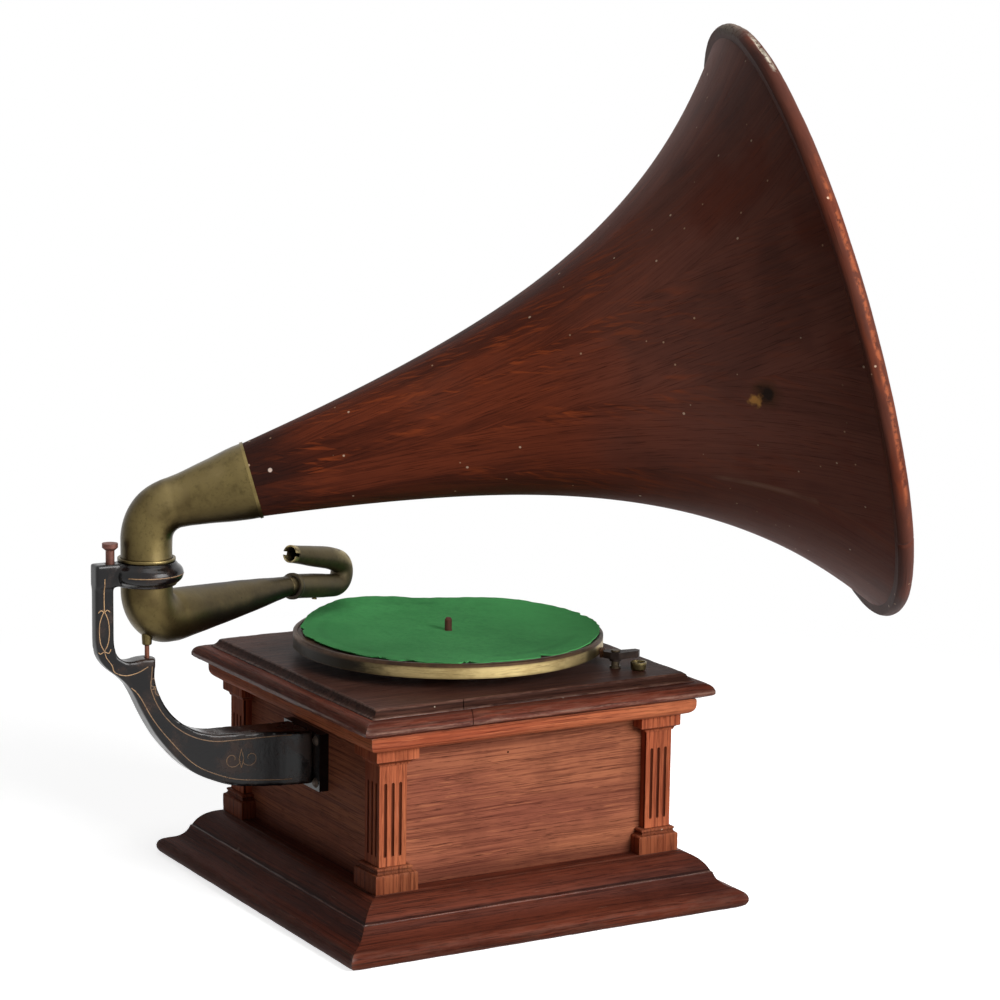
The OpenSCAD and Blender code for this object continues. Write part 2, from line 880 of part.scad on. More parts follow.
module intermediate_gear() {
    color([0.62, 0.52, 0.3])
        translate([mid_x, 0, 0]) {
            translate([0, 0, lower_plate_z])
                cylinder(r = mid_arbor_r, h = upper_plate_z + plate_t - lower_plate_z);
            translate([0, 0, drum_gear_z - 1])
                gear(mid_pinion_teeth, drum_module, drum_gear_t + 3, 0);
            translate([0, 0, mid_wheel_z])
                gear(mid_wheel_teeth, mid_module, mid_wheel_t, 0);
            translate([0, 0, floor_z + side_gap])
                cylinder(r = mid_arbor_r + 2, h = 2);
            translate([0, 0, upper_plate_z - side_gap - 1])
                cylinder(r = mid_arbor_r + 2, h = 1);
        }
}

// Governor, on a level shaft along Y beside the spindle

module on_governor(y = 0) {
    translate([worm_x, y, governor_z])
        rotate([-90, 0, 0])
            children();
}

// Outline of the worm: a core with a narrow thread at each start
function worm_points() =
    let (p = 360 / worm_starts)
    [for (i = [0:worm_starts - 1], k = [0:5])
        (k == 0 || k == 3 ? worm_core_r : (k < 3 ? worm_tip_r : worm_core_r)) *
            [cos(p * (i + [-0.16, -0.08, 0.08, 0.16, 0.4, 0.62][k])),
             sin(p * (i + [-0.16, -0.08, 0.08, 0.16, 0.4, 0.62][k]))]];

// A six-sided collar whose flats carry the leaves
module governor_collar(h) {
    difference() {
        linear_extrude(h)
            polygon([for (i = [0:5]) governor_hub / cos(30) * [cos(60 * i), sin(60 * i)]]);
        translate([0, 0, -1])
            cylinder(r = governor_shaft_r, h = h + 2);
    }
}

module governor_shaft() {
    worm_len = 15;
    turn = 360 * worm_len / (worm_starts * PI);
    color([0.6, 0.58, 0.5]) {
        on_governor(-governor_half)
            cylinder(r = governor_shaft_r, h = 2 * governor_half);
        on_governor(-worm_len / 2)
            rotate(turn / 2 + worm_phase)
                linear_extrude(worm_len, twist = turn, slices = 24, $fn = 12)
                    polygon(worm_points());
        on_governor(-governor_half + 6.6)
            cylinder(r = governor_shaft_r + 1, h = 1);
    }
}
worm_phase = 45;

module governor_weights() {
    half = 13;
    color([0.55, 0.45, 0.3])
        on_governor(-27)
            for (turn = [0:120:240])
                rotate(turn + 30) {
                    translate([weight_out, 0, 0])
                        sphere(r = weight_r, $fn = 48);
                    rotate([90, 0, 0])
                        linear_extrude(3, center = true)
                            polygon([[governor_hub, -half - 3], [governor_hub + 0.7, -half - 3],
                                     [governor_hub + 0.7, -half], [weight_out, -2], [weight_out, 2],
                                     [governor_hub + 0.7, half], [governor_hub + 0.7, half + 3],
                                     [governor_hub, half + 3], [governor_hub, half], [weight_out - 0.7, 2],
                                     [weight_out - 0.7, -2], [governor_hub, -half]]);
                }
}

module governor_disc() {
    color([0.65, 0.55, 0.3]) {
        on_governor(governor_disc_y)
            difference() {
                cylinder(r = governor_disc_r, h = 2.4);
                translate([0, 0, -1])
                    cylinder(r = governor_shaft_r, h = 5);
            }
        on_governor(governor_disc_y + 2.4)
            governor_collar(3.6);
        on_governor(-14)
            governor_collar(4);
    }
}

module governor_bearings() {
    color([0.4, 0.4, 0.42])
        for (end = [-1, 1])
            difference() {
                translate([worm_x - 5, end * (governor_half - 3) - 2.5, floor_z])
                    cube([10, 5, governor_z + 6 - floor_z]);
                on_governor(-governor_half - 5)
                    cylinder(r = governor_shaft_r + run_fit, h = 2 * governor_half + 10);
            }
}

// The regulator's lever, with a fork at the knob's end and an arm down to the disc
module friction_lever() {
    bar_t = 3;
    far = [pad_at_x, lever_drop_y];
    reach = speed_at - lever_at;
    along = atan2(reach.y, reach.x);
    color([0.42, 0.4, 0.38])
        difference() {
            union() {
                translate([lever_at.x, lever_at.y, lever_z])
                    rotate(along)
                        linear_extrude(bar_t)
                            polygon([[0, -5], [norm(reach) - 8, -5], [norm(reach) + 6, -5.6],
                                     [norm(reach) + 6, 5.6], [norm(reach) - 8, 5], [0, 5]]);
                translate([lever_at.x, lever_at.y, lever_z])
                    cylinder(r = 8, h = bar_t);
                translate([0, 0, lever_z])
                    linear_extrude(bar_t)
                        polygon([[lever_at.x, lever_at.y - 5], [lever_at.x, lever_at.y + 5],
                                 [far.x - 4, far.y + 4], [far.x - 4, far.y - 1]]);
                translate([far.x - 4, far.y, governor_z - 4])
                    cube([8, 4, lever_z + bar_t - governor_z + 4]);
                translate([far.x - 3.5, far.y, governor_z - 4])
                    cube([7, governor_disc_y - 3.6 - far.y, 8]);
            }
            translate([lever_at.x, lever_at.y, lever_z - 1])
                cylinder(r = 3 + run_fit, h = bar_t + 2);
            translate([lever_at.x, lever_at.y, lever_z])
                rotate(along)
                    translate([norm(reach) - 6, -cam_r - 0.2, -1])
                        cube([20, 2 * cam_r + 0.4, bar_t + 2]);
        }
}

module lever_stud() {
    color([0.6, 0.58, 0.55])
        translate([lever_at.x, lever_at.y, lever_z - 2]) {
            cylinder(r = 5, h = 1.8);
            cylinder(r = 3, h = lid_top - lever_z + 2);
            translate([0, 0, 5.2])
                cylinder(r = 6, h = lid_top - lever_z - 3.2);
        }
}

module friction_pad() {
    color([0.45, 0.3, 0.18])
        translate([pad_at_x - 3, governor_disc_y - 3.6, governor_z - 3])
            cube([6, 2.4, 6]);
}

module speed_screw() {
    reach = speed_at - lever_at;
    color([0.7, 0.6, 0.4])
        translate([speed_at.x, speed_at.y, 0]) {
            translate([0, 0, lever_z + 3.6])
                cylinder(r = speed_r, h = board_top + 1 - lever_z - 3.6);
            translate([0, 0, board_top])
                cylinder(r = 8, h = 2.2);
            translate([0, 0, board_top + 2.2])
                cylinder(r1 = 5, r2 = 6.5, h = 4);
            rotate(atan2(reach.y, reach.x))
                translate([cam_off, 0, lever_z - 1])
                    cylinder(r = cam_r, h = 5);
        }
}

// Winding

module on_winding_axis(x) {
    translate([x, 0, winding_z])
        rotate([0, 90, 0])
            children();
}

module winding_shaft() {
    pinion_x = drum_x + crown_mean_r - 1.5;
    color([0.55, 0.55, 0.56]) {
        on_winding_axis(winding_bearing_x)
            cylinder(r = winding_r - 1, h = pinion_x + 4 - winding_bearing_x);
        on_winding_axis(pinion_x)
            gear(winding_pinion_teeth, 1, 3, 0);
        on_winding_axis(pinion_x + 4)
            cylinder(r = winding_r, h = crank_x - 8 - pinion_x - 4);
    }
}

module winding_bearing() {
    color([0.4, 0.4, 0.42])
        difference() {
            translate([winding_bearing_x, -8, floor_z])
                cube([4.5, 16, winding_z + 5.4 - floor_z]);
            on_winding_axis(winding_bearing_x - 1)
                cylinder(r = winding_r - 1 + run_fit, h = 8);
        }
}

module escutcheon() {
    color([0.66, 0.56, 0.36])
        difference() {
            union() {
                on_winding_axis(panel_half)
                    cylinder(r = escutcheon_r, h = escutcheon_t);
                on_winding_axis(panel_half + escutcheon_t)
                    cylinder(r1 = winding_r + 4, r2 = winding_r + 2.4, h = 4);
                on_winding_axis(panel_in - 3)
                    cylinder(r = winding_r + 3, h = panel_t + 3);
            }
            on_winding_axis(panel_in - 5)
                cylinder(r = winding_r + run_fit, h = 40);
        }
}

module crank_rod() {
    bend = 12;
    color([0.35, 0.32, 0.3]) {
        on_winding_axis(crank_x - 8)
            cylinder(r = winding_r + 2, h = 8);
        translate([crank_x, 0, winding_z - bend])
            rotate([90, 0, 0])
                rotate_extrude(angle = 90)
                    translate([bend, 0])
                        circle(r = crank_rod_r, $fn = 48);
        translate([crank_x + bend, 0, winding_z - crank_arm + bend])
            cylinder(r = crank_rod_r, h = crank_arm - 2 * bend);
        translate([crank_x + 2 * bend, 0, winding_z - crank_arm + bend])
            rotate([90, 0, 0])
                rotate(180)
                    rotate_extrude(angle = 90)
                        translate([bend, 0])
                            circle(r = crank_rod_r, $fn = 48);
        translate([crank_x + 2 * bend, 0, winding_z - crank_arm])
            rotate([0, 90, 0])
                cylinder(r = crank_rod_r, h = grip_len + 3);
    }
}

module on_grip(x) {
    translate([crank_x + 24 + x, 0, winding_z - crank_arm])
        rotate([0, 90, 0])
            children();
}

module crank_grip() {
    color([0.2, 0.1, 0.06])
        on_grip(1.5)
            rotate_extrude()
                polygon(concat(
                    [[crank_rod_r + run_fit, 0]],
                    [for (i = [0:12]) [grip_r - 3.5 + 3.5 * pow(sin(15 + 150 * i / 12), 0.8), grip_len * i / 12]],
                    [[crank_rod_r + run_fit, grip_len]]));
}

module grip_washer() {
    color([0.7, 0.62, 0.4])
        on_grip(grip_len + 2)
            difference() {
                cylinder(r = crank_rod_r + 3, h = 1);
                translate([0, 0, -1])
                    cylinder(r = crank_rod_r, h = 3);
            }
}

// Brake and needle cup, at the front left corner of the motor board

module brake_stud() {
    color([0.4, 0.3, 0.2])
        translate([brake_at.x, brake_at.y, board_top]) {
            cylinder(r = stud_r + 2.5, h = 2);
            cylinder(r = stud_r + 1, h = lever_lift - 2.7);
            translate([0, 0, -6])
                cylinder(r = stud_r, h = lever_lift + lever_t + 7.5);
            translate([0, 0, lever_lift + lever_t + 0.4])
                cylinder(r = stud_r + 1.6, h = 1.6);
        }
}

module brake_lever() {
    z = board_top + lever_lift;
    color([0.28, 0.2, 0.14])
        difference() {
            union() {
                translate([brake_at.x, brake_at.y, z])
                    linear_extrude(lever_t)
                        polygon([[11.5, -2], [13.5, 5.4], [6, 10.4], [-2, 7], [-8, 1],
                                 [-7, -22], [-3, -26.5], [3, -25], [5, -9]]);
                translate([brake_at.x, brake_at.y, z - 2.4])
                    cylinder(r = stud_r + 3, h = 2.4);
            }
            translate([brake_at.x, brake_at.y, z - 4])
                cylinder(r = stud_r + run_fit, h = lever_t + 6);
            pad_solid(0.0, 10);
        }
}

// The pad's block, square to the rim, a little longer than it or true
module pad_solid(grow, h) {
    rotate(pad_way)
        translate([pad_r, -4.5 - grow, board_top + lever_lift - 1])
            cube([3.4, 9 + 2 * grow, h]);
}

module brake_pad() {
    color([0.5, 0.36, 0.22])
        pad_solid(0, 8.5);
}

module needle_cup() {
    color([0.7, 0.6, 0.36])
        translate([cup_at.x, cup_at.y, board_top])
            rotate_extrude()
                polygon([[0, 0], [cup_r - 2, 0], [cup_r - 0.6, 1.5], [cup_r, cup_h - 2], [cup_r, cup_h],
                         [cup_r - 1.2, cup_h], [cup_r - 1.6, 3], [0, 1.8]]);
}

// Bracket

module bracket_plate() {
    color([0.07, 0.07, 0.08])
        difference() {
            translate([-plate_hw, panel_half, plate_z])
                cube([2 * plate_hw, wall_plate_t, wall_plate_h]);
            plate_screw_places()
                cylinder(r = wood_screw_r, h = wall_plate_t + 2);
        }
}

module plate_screw_places() {
    for (sx = [-1, 1], sz = [-1, 1])
        translate([sx * wood_screw_at.x, panel_half - 1, plate_z + wall_plate_h / 2 + sz * wood_screw_at.y])
            rotate([-90, 0, 0])
                children();
}

module bracket_screws() {
    color([0.3, 0.25, 0.2])
        plate_screw_places() {
            translate([0, 0, 2 - panel_t])
                cylinder(r = wood_screw_r, h = wall_plate_t + panel_t - 1);
            translate([0, 0, wall_plate_t + 1])
                cylinder(r1 = 5, r2 = 3, h = 2.4);
        }
}

// Side view of the bracket's arm, in Y and Z
function bracket_side() = let (back = post_y + post_t) concat(
    [[post_y, ring_z], [post_y, 285]],
    curve([[post_y, 284], [post_y - 2.5, 271], [post_y - 9.5, 263.5], [post_y - 18, boss_top - 1.5]]),
    [[ring_y + boss_r, boss_top], [ring_y - 4.5, boss_top]],
    arc([252, 254.5], 71.5, -8, -92, 14),
    [[bracket_face, 178], [bracket_face, 126]],
    curve([[197, 126], [237.8, 130], [265, 138.5], [290.4, 153], [316.8, 182],
           [332.7, 208], [349, 239], [back - 10.7, 257.5], [back - 2.3, 270], [back, 285]]),
    [[back, ring_z]]);

// Plan view of the bracket's arm, in X and Y
function bracket_plan() =
    let (side = concat([[26, bracket_face]],
                       curve([[24, 176], [20, 197], [17, 240], [14, 280], [12, 317], [9, 349],
                              [post_hw, post_y + 2]]),
                       [[post_hw, post_y + post_t + 1]]))
    concat(side, [for (i = [len(side) - 1:-1:0]) [-side[i].x, side[i].y]]);

module back_bracket() {
    color([0.05, 0.05, 0.06])
        difference() {
            union() {
                intersection() {
                    rotate([90, 0, 90])
                        linear_extrude(80, center = true)
                            polygon(bracket_side());
                    translate([0, 0, 100])
                        linear_extrude(300)
                            polygon(bracket_plan());
                }
                translate([-post_hw - 2, post_y - 14, ring_bottom + 2])
                    cube([2 * post_hw + 4, 14 + post_t, ring_h - 2]);
                translate([0, ring_y, 0])
                    rotate_extrude()
                        polygon(concat(
                            [[ring_bore + 0.01, ring_bottom], [ring_out_r - 7, ring_bottom]],
                            arc([ring_out_r - 9, ring_z], 9, -75, 75, 10),
                            [[ring_out_r - 7, ring_top], [ring_bore + 0.01, ring_top]]));
                translate([0, ring_y, boss_top - 12])
                    cylinder(r = boss_r, h = 12);
            }
            translate([0, ring_y, ring_bottom - 5])
                cylinder(r = ring_bore, h = ring_h + 20);
            translate([0, ring_y, boss_top - 22])
                cylinder(r = pivot_r, h = 30);
            translate([0, thumb_y, ring_top - 14])
                cylinder(r = thumb_r + run_fit, h = 20);
        }
}

module pivot_pin() {
    color([0.5, 0.36, 0.26])
        translate([0, ring_y, boss_top - 22])
            cylinder(r = pivot_r, h = arm_boss_z + 4 - boss_top + 22);
}

module thumbscrew() {
    color([0.42, 0.26, 0.2])
        translate([0, thumb_y, 0]) {
            translate([0, 0, ring_top - 12])
                cylinder(r = thumb_r, h = 24);
            translate([0, 0, ring_top + 12])
                cylinder(r1 = thumb_r, r2 = thumb_head_r, h = 3);
            translate([0, 0, ring_top + 15])
                cylinder(r = thumb_head_r, h = 4);
        }
}

// Tone arm

// The arm's outside, or its bore when shrunk by the wall
module arm_form(less) {
    past = less > 0 ? 2 : 0;
    along_arm() {
        translate([0, 0, arm_bend_z])
            cylinder(r = tube_r - less, h = arm_top - arm_bend_z + past);
        translate([arm_bend_r, 0, arm_bend_z])
            rotate([90, 0, 0])
                rotate(180)
                    rotate_extrude(angle = 90)
                        translate([arm_bend_r, 0])
                            circle(r = tube_r - less - step);
        translate([arm_bend_r, 0, arm_z])
            rotate([0, 90, 0])
                rotate_extrude()
                    polygon([[0, 0], [tube_r - less, 0], [tube_r + arm_swell - less, 7],
                             [arm_mid_r - less, arm_mid_at - arm_bend_r],
                             [arm_tip_r - less, arm_reach - arm_bend_r], [0, arm_reach - arm_bend_r]]);
    }
    on_neck()
        rotate([0, 90, 0])
            rotate_extrude()
                polygon([[0, -3], [arm_tip_r + 0.8 - less, -3], [arm_tip_r + 0.8 - less, 2.5],
                         [arm_tip_r - less, 2.5], [arm_tip_r - less, spigot_len + past],
                         [0, spigot_len + past]]);
}

module tone_arm() {
    color([0.42, 0.36, 0.2])
        difference() {
            union() {
                arm_form(0);
                translate([0, ring_y, arm_boss_z])
                    cylinder(r = arm_boss_r, h = 12);
            }
            arm_form(tube_wall);
            translate([0, ring_y, arm_boss_z - 1])
                cylinder(r = pivot_r + run_fit, h = 6);
            on_neck()
                translate([neck_screw_at - 2, 0, 0])
                    rotate([0, 90, 0])
                        tube(arm_tip_r + 2, 2.7, 4);
        }
}

// The gooseneck's outside, or its bore when shrunk by the wall
module neck_form(less) {
    start = less > 0 ? spigot_len + 2 : neck_start + 8;
    past = less > 0 ? 2 : 0;
    translate([start, 0, 0])
        rotate([0, 90, 0])
            cylinder(r = neck_tube_r - less, h = neck_leg - start);
    translate([neck_leg, 0, neck_bend_r])
        rotate([90, 0, 0])
            rotate(-90)
                rotate_extrude(angle = neck_turn)
                    translate([neck_bend_r, 0])
                        circle(r = neck_tube_r - less - step);
    translate([neck_leg, 0, neck_bend_r])
        rotate([0, -neck_turn, 0])
            translate([0, 0, box_bend_r - neck_bend_r])
                rotate([90, 0, 0])
                    rotate(-90)
                        rotate_extrude(angle = box_turn)
                            translate([box_bend_r, 0])
                                circle(r = neck_tube_r - less - 2 * step);
    on_box_leg()
        rotate([0, 90, 0])
            rotate_extrude()
                polygon([[0, -lap], [neck_tube_r - less - step, -lap], [neck_end_r - less, box_leg - neck_end_len],
                         [neck_end_r - less, box_leg + past], [0, box_leg + past]]);
}

// The start of the straight part of the leg that holds a sound box, with x along it
module on_box_leg() {
    translate([neck_leg, 0, neck_bend_r])
        rotate([0, -neck_turn, 0])
            translate([0, 0, box_bend_r - neck_bend_r])
                rotate([0, -box_turn, 0])
                    translate([0, 0, -box_bend_r])
                        children();
}

module gooseneck() {
    slot_w = 3.4;
    sleeve_len = spigot_len + 6;
    color([0.55, 0.48, 0.26])
        on_neck()
            difference() {
                union() {
                    neck_form(0);
                    translate([neck_start, 0, 0])
                        rotate([0, 90, 0])
                            cylinder(r = neck_r, h = sleeve_len - neck_start);
                    translate([neck_start, 0, 0])
                        rotate([0, 90, 0])
                            cylinder(r = neck_r + 1.2, h = 5);
                }
                neck_form(tube_wall);
                translate([neck_start - 1, 0, 0])
                    rotate([0, 90, 0])
                        cylinder(r = arm_tip_r + run_fit, h = spigot_len + 3 - neck_start);
                translate([neck_screw_at, 0, 0])
                    rotate([180, 0, 0])
                        cylinder(r = 1.6, h = neck_r + 4);
                on_box_leg()
                    translate([box_leg - 6, -neck_end_r - 2, -slot_w / 2])
                        cube([8, 2 * neck_end_r + 4, slot_w]);
            }
}

module gooseneck_screw() {
    color([0.5, 0.42, 0.25])
        on_neck()
            translate([neck_screw_at, 0, 0])
                rotate([180, 0, 0]) {
                    translate([0, 0, arm_tip_r - 0.3])
                        cylinder(r = 1.6, h = neck_r - arm_tip_r + 0.6);
                    translate([0, 0, neck_r + 0.1])
                        cylinder(r = 2.6, h = 1.4);
                }
}

// Horn

// The elbow's outside, or its bore when shrunk by the wall
module elbow_form(less) {
    past = less > 0 ? 2 : 0;
    bottom = arm_top + 0.4 - past;
    cone_len = throat_at - 3 - elbow_out_at;
    widen = (elbow_end_r - tube_r) / (cone_len + lap);
    translate([0, ring_y, 0])
        rotate(-90 - horn_az) {
            translate([0, 0, bottom])
                cylinder(r = tube_r - less, h = elbow_bend_z - bottom);
            translate([elbow_bend_r, 0, elbow_bend_z])
                rotate([90, 0, 0])
                    rotate(180 - elbow_turn)
                        rotate_extrude(angle = elbow_turn)
                            translate([elbow_bend_r, 0])
                                circle(r = tube_r - less - step);
        }
    on_horn_axis(elbow_out_at - lap)
        cylinder(r1 = tube_r - less, r2 = elbow_end_r - less + past * widen, h = cone_len + lap + past);
}

module horn_elbow() {
    color([0.45, 0.4, 0.2])
        difference() {
            union() {
                elbow_form(0);
                translate([0, ring_y, ring_top])
                    cylinder(r = tube_r + 3, h = 3);
            }
            elbow_form(tube_wall);
            on_horn_axis(throat_at - 16)
                cylinder(r = sleeve_r, h = 16);
        }
}
sleeve_r = throat_r - horn_wall - 0.3;

module horn_ferrule() {
    color([0.6, 0.54, 0.32]) {
        on_horn_axis(throat_at - 3)
            tube(elbow_end_r + 0.8, elbow_end_r + 0.8 - sleeve_r + 1.4, 3);
        on_horn_axis(throat_at - 16)
            tube(sleeve_r, 1.4, 36);
    }
}

module horn() {
    steps = 26;
    outside = [for (i = [0:steps]) [horn_r(horn_len * i / steps), horn_len * i / steps]];
    inside = [for (i = [steps:-1:0]) [horn_r(horn_len * i / steps) - horn_wall * (1 + 0.35 * i / steps), horn_len * i / steps]];
    color([0.35, 0.13, 0.08])
        on_horn_axis(throat_at)
            rotate_extrude()
                polygon(concat(outside, inside));
}

module horn_roll() {
    centre_r = horn_r(horn_len) + 2.3;
    chord = 7;
    a = asin(chord / roll_r);
    color([0.33, 0.12, 0.07])
        on_horn_axis(throat_at + horn_len)
            rotate_extrude()
                polygon(arc([centre_r, chord], roll_r, -a, 180 + a, 18));
}

plinth_mouldings();
bottom_board();
front_panel();
back_panel();
left_panel();
right_panel();
corner_posts();
post_capitals();
post_bases();
cornice_mouldings();
lid_mouldings();
motor_board();
turntable_platter();
rim_band();
turntable_felt();
spindle();
worm_wheel();
motor_plates();
motor_pillars();
motor_bolts();
motor_spacers();
spring_barrel();
barrel_cover();
mainspring();
barrel_arbor();
ratchet_wheel();
ratchet_pawl();
pawl_stud();
pawl_spring();
intermediate_gear();
governor_shaft();
governor_weights();
governor_disc();
governor_bearings();
friction_lever();
friction_pad();
lever_stud();
speed_screw();
winding_shaft();
winding_bearing();
escutcheon();
crank_rod();
crank_grip();
grip_washer();
brake_stud();
brake_lever();
brake_pad();
needle_cup();
bracket_plate();
bracket_screws();
back_bracket();
pivot_pin();
thumbscrew();
tone_arm();
gooseneck();
gooseneck_screw();
horn_elbow();
horn_ferrule();
horn();
horn_roll();
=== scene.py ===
"""Looks of a horn gramophone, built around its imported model.

Lengths in the profiles are millimetres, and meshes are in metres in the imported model's frame.
"""

import math

import bmesh
import bpy
from bpy.props import FloatProperty, FloatVectorProperty, IntProperty, PointerProperty
from bpy.types import Operator, Panel, PropertyGroup
from mathutils import Matrix, Vector, noise
from mathutils.bvhtree import BVHTree


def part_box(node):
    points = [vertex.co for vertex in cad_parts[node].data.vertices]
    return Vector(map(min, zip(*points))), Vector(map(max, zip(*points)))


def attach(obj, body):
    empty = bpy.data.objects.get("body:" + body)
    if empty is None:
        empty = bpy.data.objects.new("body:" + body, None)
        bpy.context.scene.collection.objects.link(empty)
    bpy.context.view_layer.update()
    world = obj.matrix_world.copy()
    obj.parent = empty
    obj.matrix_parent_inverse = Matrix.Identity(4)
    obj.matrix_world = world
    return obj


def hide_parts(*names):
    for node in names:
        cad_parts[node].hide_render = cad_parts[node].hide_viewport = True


bl_info = {
    "name": "Horn gramophone",
    "version": (1, 0, 0),
    "blender": (4, 5, 0),
    "location": "View3D > Sidebar > Gramophone",
    "description": "Builds the looks of a horn gramophone around its packed model",
    "category": "Object",
}

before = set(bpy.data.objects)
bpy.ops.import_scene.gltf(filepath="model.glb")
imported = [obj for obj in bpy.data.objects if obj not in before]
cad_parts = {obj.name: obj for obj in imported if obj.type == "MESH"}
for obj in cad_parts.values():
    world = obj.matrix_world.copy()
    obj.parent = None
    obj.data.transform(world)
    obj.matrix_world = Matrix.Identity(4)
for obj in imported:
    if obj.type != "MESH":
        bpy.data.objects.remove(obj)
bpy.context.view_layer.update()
MM = 0.001


# ---------------------------------------------------------------- colours


def srgb(red, green, blue):
    """A colour as it looks on a screen, 0 to 255, in linear light."""

    def linear(value):
        value /= 255
        return value / 12.92 if value <= 0.04045 else ((value + 0.055) / 1.055) ** 2.4

    return (linear(red), linear(green), linear(blue))


def scaled(colour, factor):
    """A colour made darker or lighter, up to full white."""
    return tuple(min(1.0, factor * part) for part in colour)


# ---------------------------------------------------------------- settings


def colour_property(name, description, *screen):
    """A colour, from its red, green and blue on a screen."""
    return FloatVectorProperty(
        name=name,
        description=description,
        subtype="COLOR",
        size=3,
        min=0,
        max=1,
        default=srgb(*screen),
    )


def angle_property(name, description, degrees):
    """An angle, which Blender keeps in radians."""
    return FloatProperty(
        name=name, description=description, subtype="ANGLE", default=math.radians(degrees)
    )


def amount_property(name, description, default, unit="NONE", least=0):
    """A number of a unit that does not go below its least."""
    return FloatProperty(
        name=name, description=description, unit=unit, default=default, min=least
    )


class CameraSettings(PropertyGroup):
    place: FloatVectorProperty(
        name="Place",
        description="Where the camera stands",
        subtype="TRANSLATION",
        unit="LENGTH",
        size=3,
        default=(-2.6344, 1.4750, 0.9129),
    )
    heading: angle_property("Heading", "Turn of the view from +Y towards +X", 120.19)
    dip: angle_property("Dip", "How far the view looks down", 9.81)
    roll: angle_property("Roll", "Turn of the camera about its view", 0.86)
    lens: FloatProperty(
        name="Lens",
        description="Focal length on a 36 mm sensor",
        subtype="DISTANCE_CAMERA",
        default=111.13,
        min=10,
    )


class LightSettings(PropertyGroup):
    key_power: amount_property(
        "Key light", "Power of the large soft box on the left side", 113, "POWER"
    )
    key_size: amount_property("Key size", "Width of the large soft box", 2.0, "LENGTH", 0.1)
    top_power: amount_property("Top light", "Power of the soft box overhead", 15, "POWER")
    back_power: amount_property(
        "Back light", "Power of the narrow soft box behind the bracket", 0.6, "POWER"
    )
    room: amount_property("Room light", "Strength of the even light from all sides", 0.06)


class WoodSettings(PropertyGroup):
    horn_dark: colour_property("Horn, dark", "Dark lines of the horn's wood", 40, 20, 17)
    horn_middle: colour_property("Horn, middle", "Main colour of the horn's wood", 116, 54, 34)
    horn_bell: colour_property("Horn, bell", "Main colour of the wood towards the mouth", 106, 66, 56)
    horn_flame: colour_property("Horn, flecks", "Bright flecks of the horn's wood", 166, 76, 38)
    oak_dark: colour_property("Cabinet, dark", "Dark lines of the cabinet's wood", 92, 46, 37)
    oak_middle: colour_property("Cabinet, middle", "Main colour of the cabinet's wood", 146, 84, 65)
    oak_light: colour_property("Cabinet, light", "Light lines of the cabinet's wood", 186, 116, 82)
    stain_dark: colour_property("Mouldings, dark", "Dark stain of the lid and plinth", 40, 20, 17)
    stain_middle: colour_property("Mouldings, middle", "Main colour of the lid and plinth", 86, 43, 34)
    stain_light: colour_property("Mouldings, light", "Light lines of the lid and plinth", 132, 66, 46)
    post_dark: colour_property("Posts, dark", "Dark lines of the posts and cornice", 98, 42, 30)
    post_middle: colour_property("Posts, middle", "Main colour of the posts and cornice", 173, 88, 59)
    post_light: colour_property("Posts, light", "Light lines of the posts and cornice", 204, 122, 82)
    worn_edge: colour_property("Worn edge", "Wood laid bare along the edges", 176, 134, 114)


class MetalSettings(PropertyGroup):
    # the tarnish colours below also give the brass its painted shade, and the bright colour its
    # painted highlight
    brass: colour_property("Brass", "Aged brass of the elbow and arm", 102, 89, 56)
    brass_dark: colour_property("Brass, dark", "Tarnish of the brass", 74, 62, 39)
    bronze: colour_property("Bronze", "Dark tarnish of the arm's thin end", 52, 44, 35)
    bright: colour_property("Bright brass", "Brass rubbed bright", 186, 166, 116)
    band: colour_property("Rim band", "Plated band of the turntable", 196, 174, 122)
    # the dull colour of the rim band is also its painted dark reflection on one side
    band_dark: colour_property("Dull rim band", "Brown patch of the turntable's band", 24, 17, 11)
    enamel: colour_property("Enamel", "Black enamel of the bracket", 16, 14, 15)
    enamel_worn: colour_property("Worn enamel", "Enamel rubbed thin", 66, 46, 36)
    stripe: colour_property("Pinstripe", "Painted lines of the bracket", 205, 163, 118)
    rust: colour_property("Rust", "Rust of the spindle", 118, 66, 50)


class ClothSettings(PropertyGroup):
    # the dark felt colour also gives the felt's painted shade towards +Y, and the felt colour, made
    # lighter, its painted light towards -Y
    felt: colour_property("Felt", "Main colour of the felt", 104, 206, 121)
    felt_dark: colour_property("Felt, dark", "Trodden parts of the felt", 90, 188, 108)
    ragged: amount_property(
        "Ragged edge", "How far the felt's edge wanders", 0.0016, "LENGTH"
    )


class ShapeSettings(PropertyGroup):
    staves: IntProperty(
        name="Staves", description="Number of staves of the horn", default=10, min=3
    )
    stave_flat: FloatProperty(
        name="Flat of a stave",
        description="How flat a stave is, from 0, round, to 1, flat",
        subtype="FACTOR",
        default=0.14,
        min=0,
        max=1,
    )
    wear_depth: amount_property(
        "Wear", "How far the edges of the mouldings have worn back", 0.0005, "LENGTH"
    )
    casting_round: IntProperty(
        name="Casting's softness",
        description="Passes that soften the edges of the bracket",
        default=14,
        min=0,
    )


# ---------------------------------------------------------------- shader trees


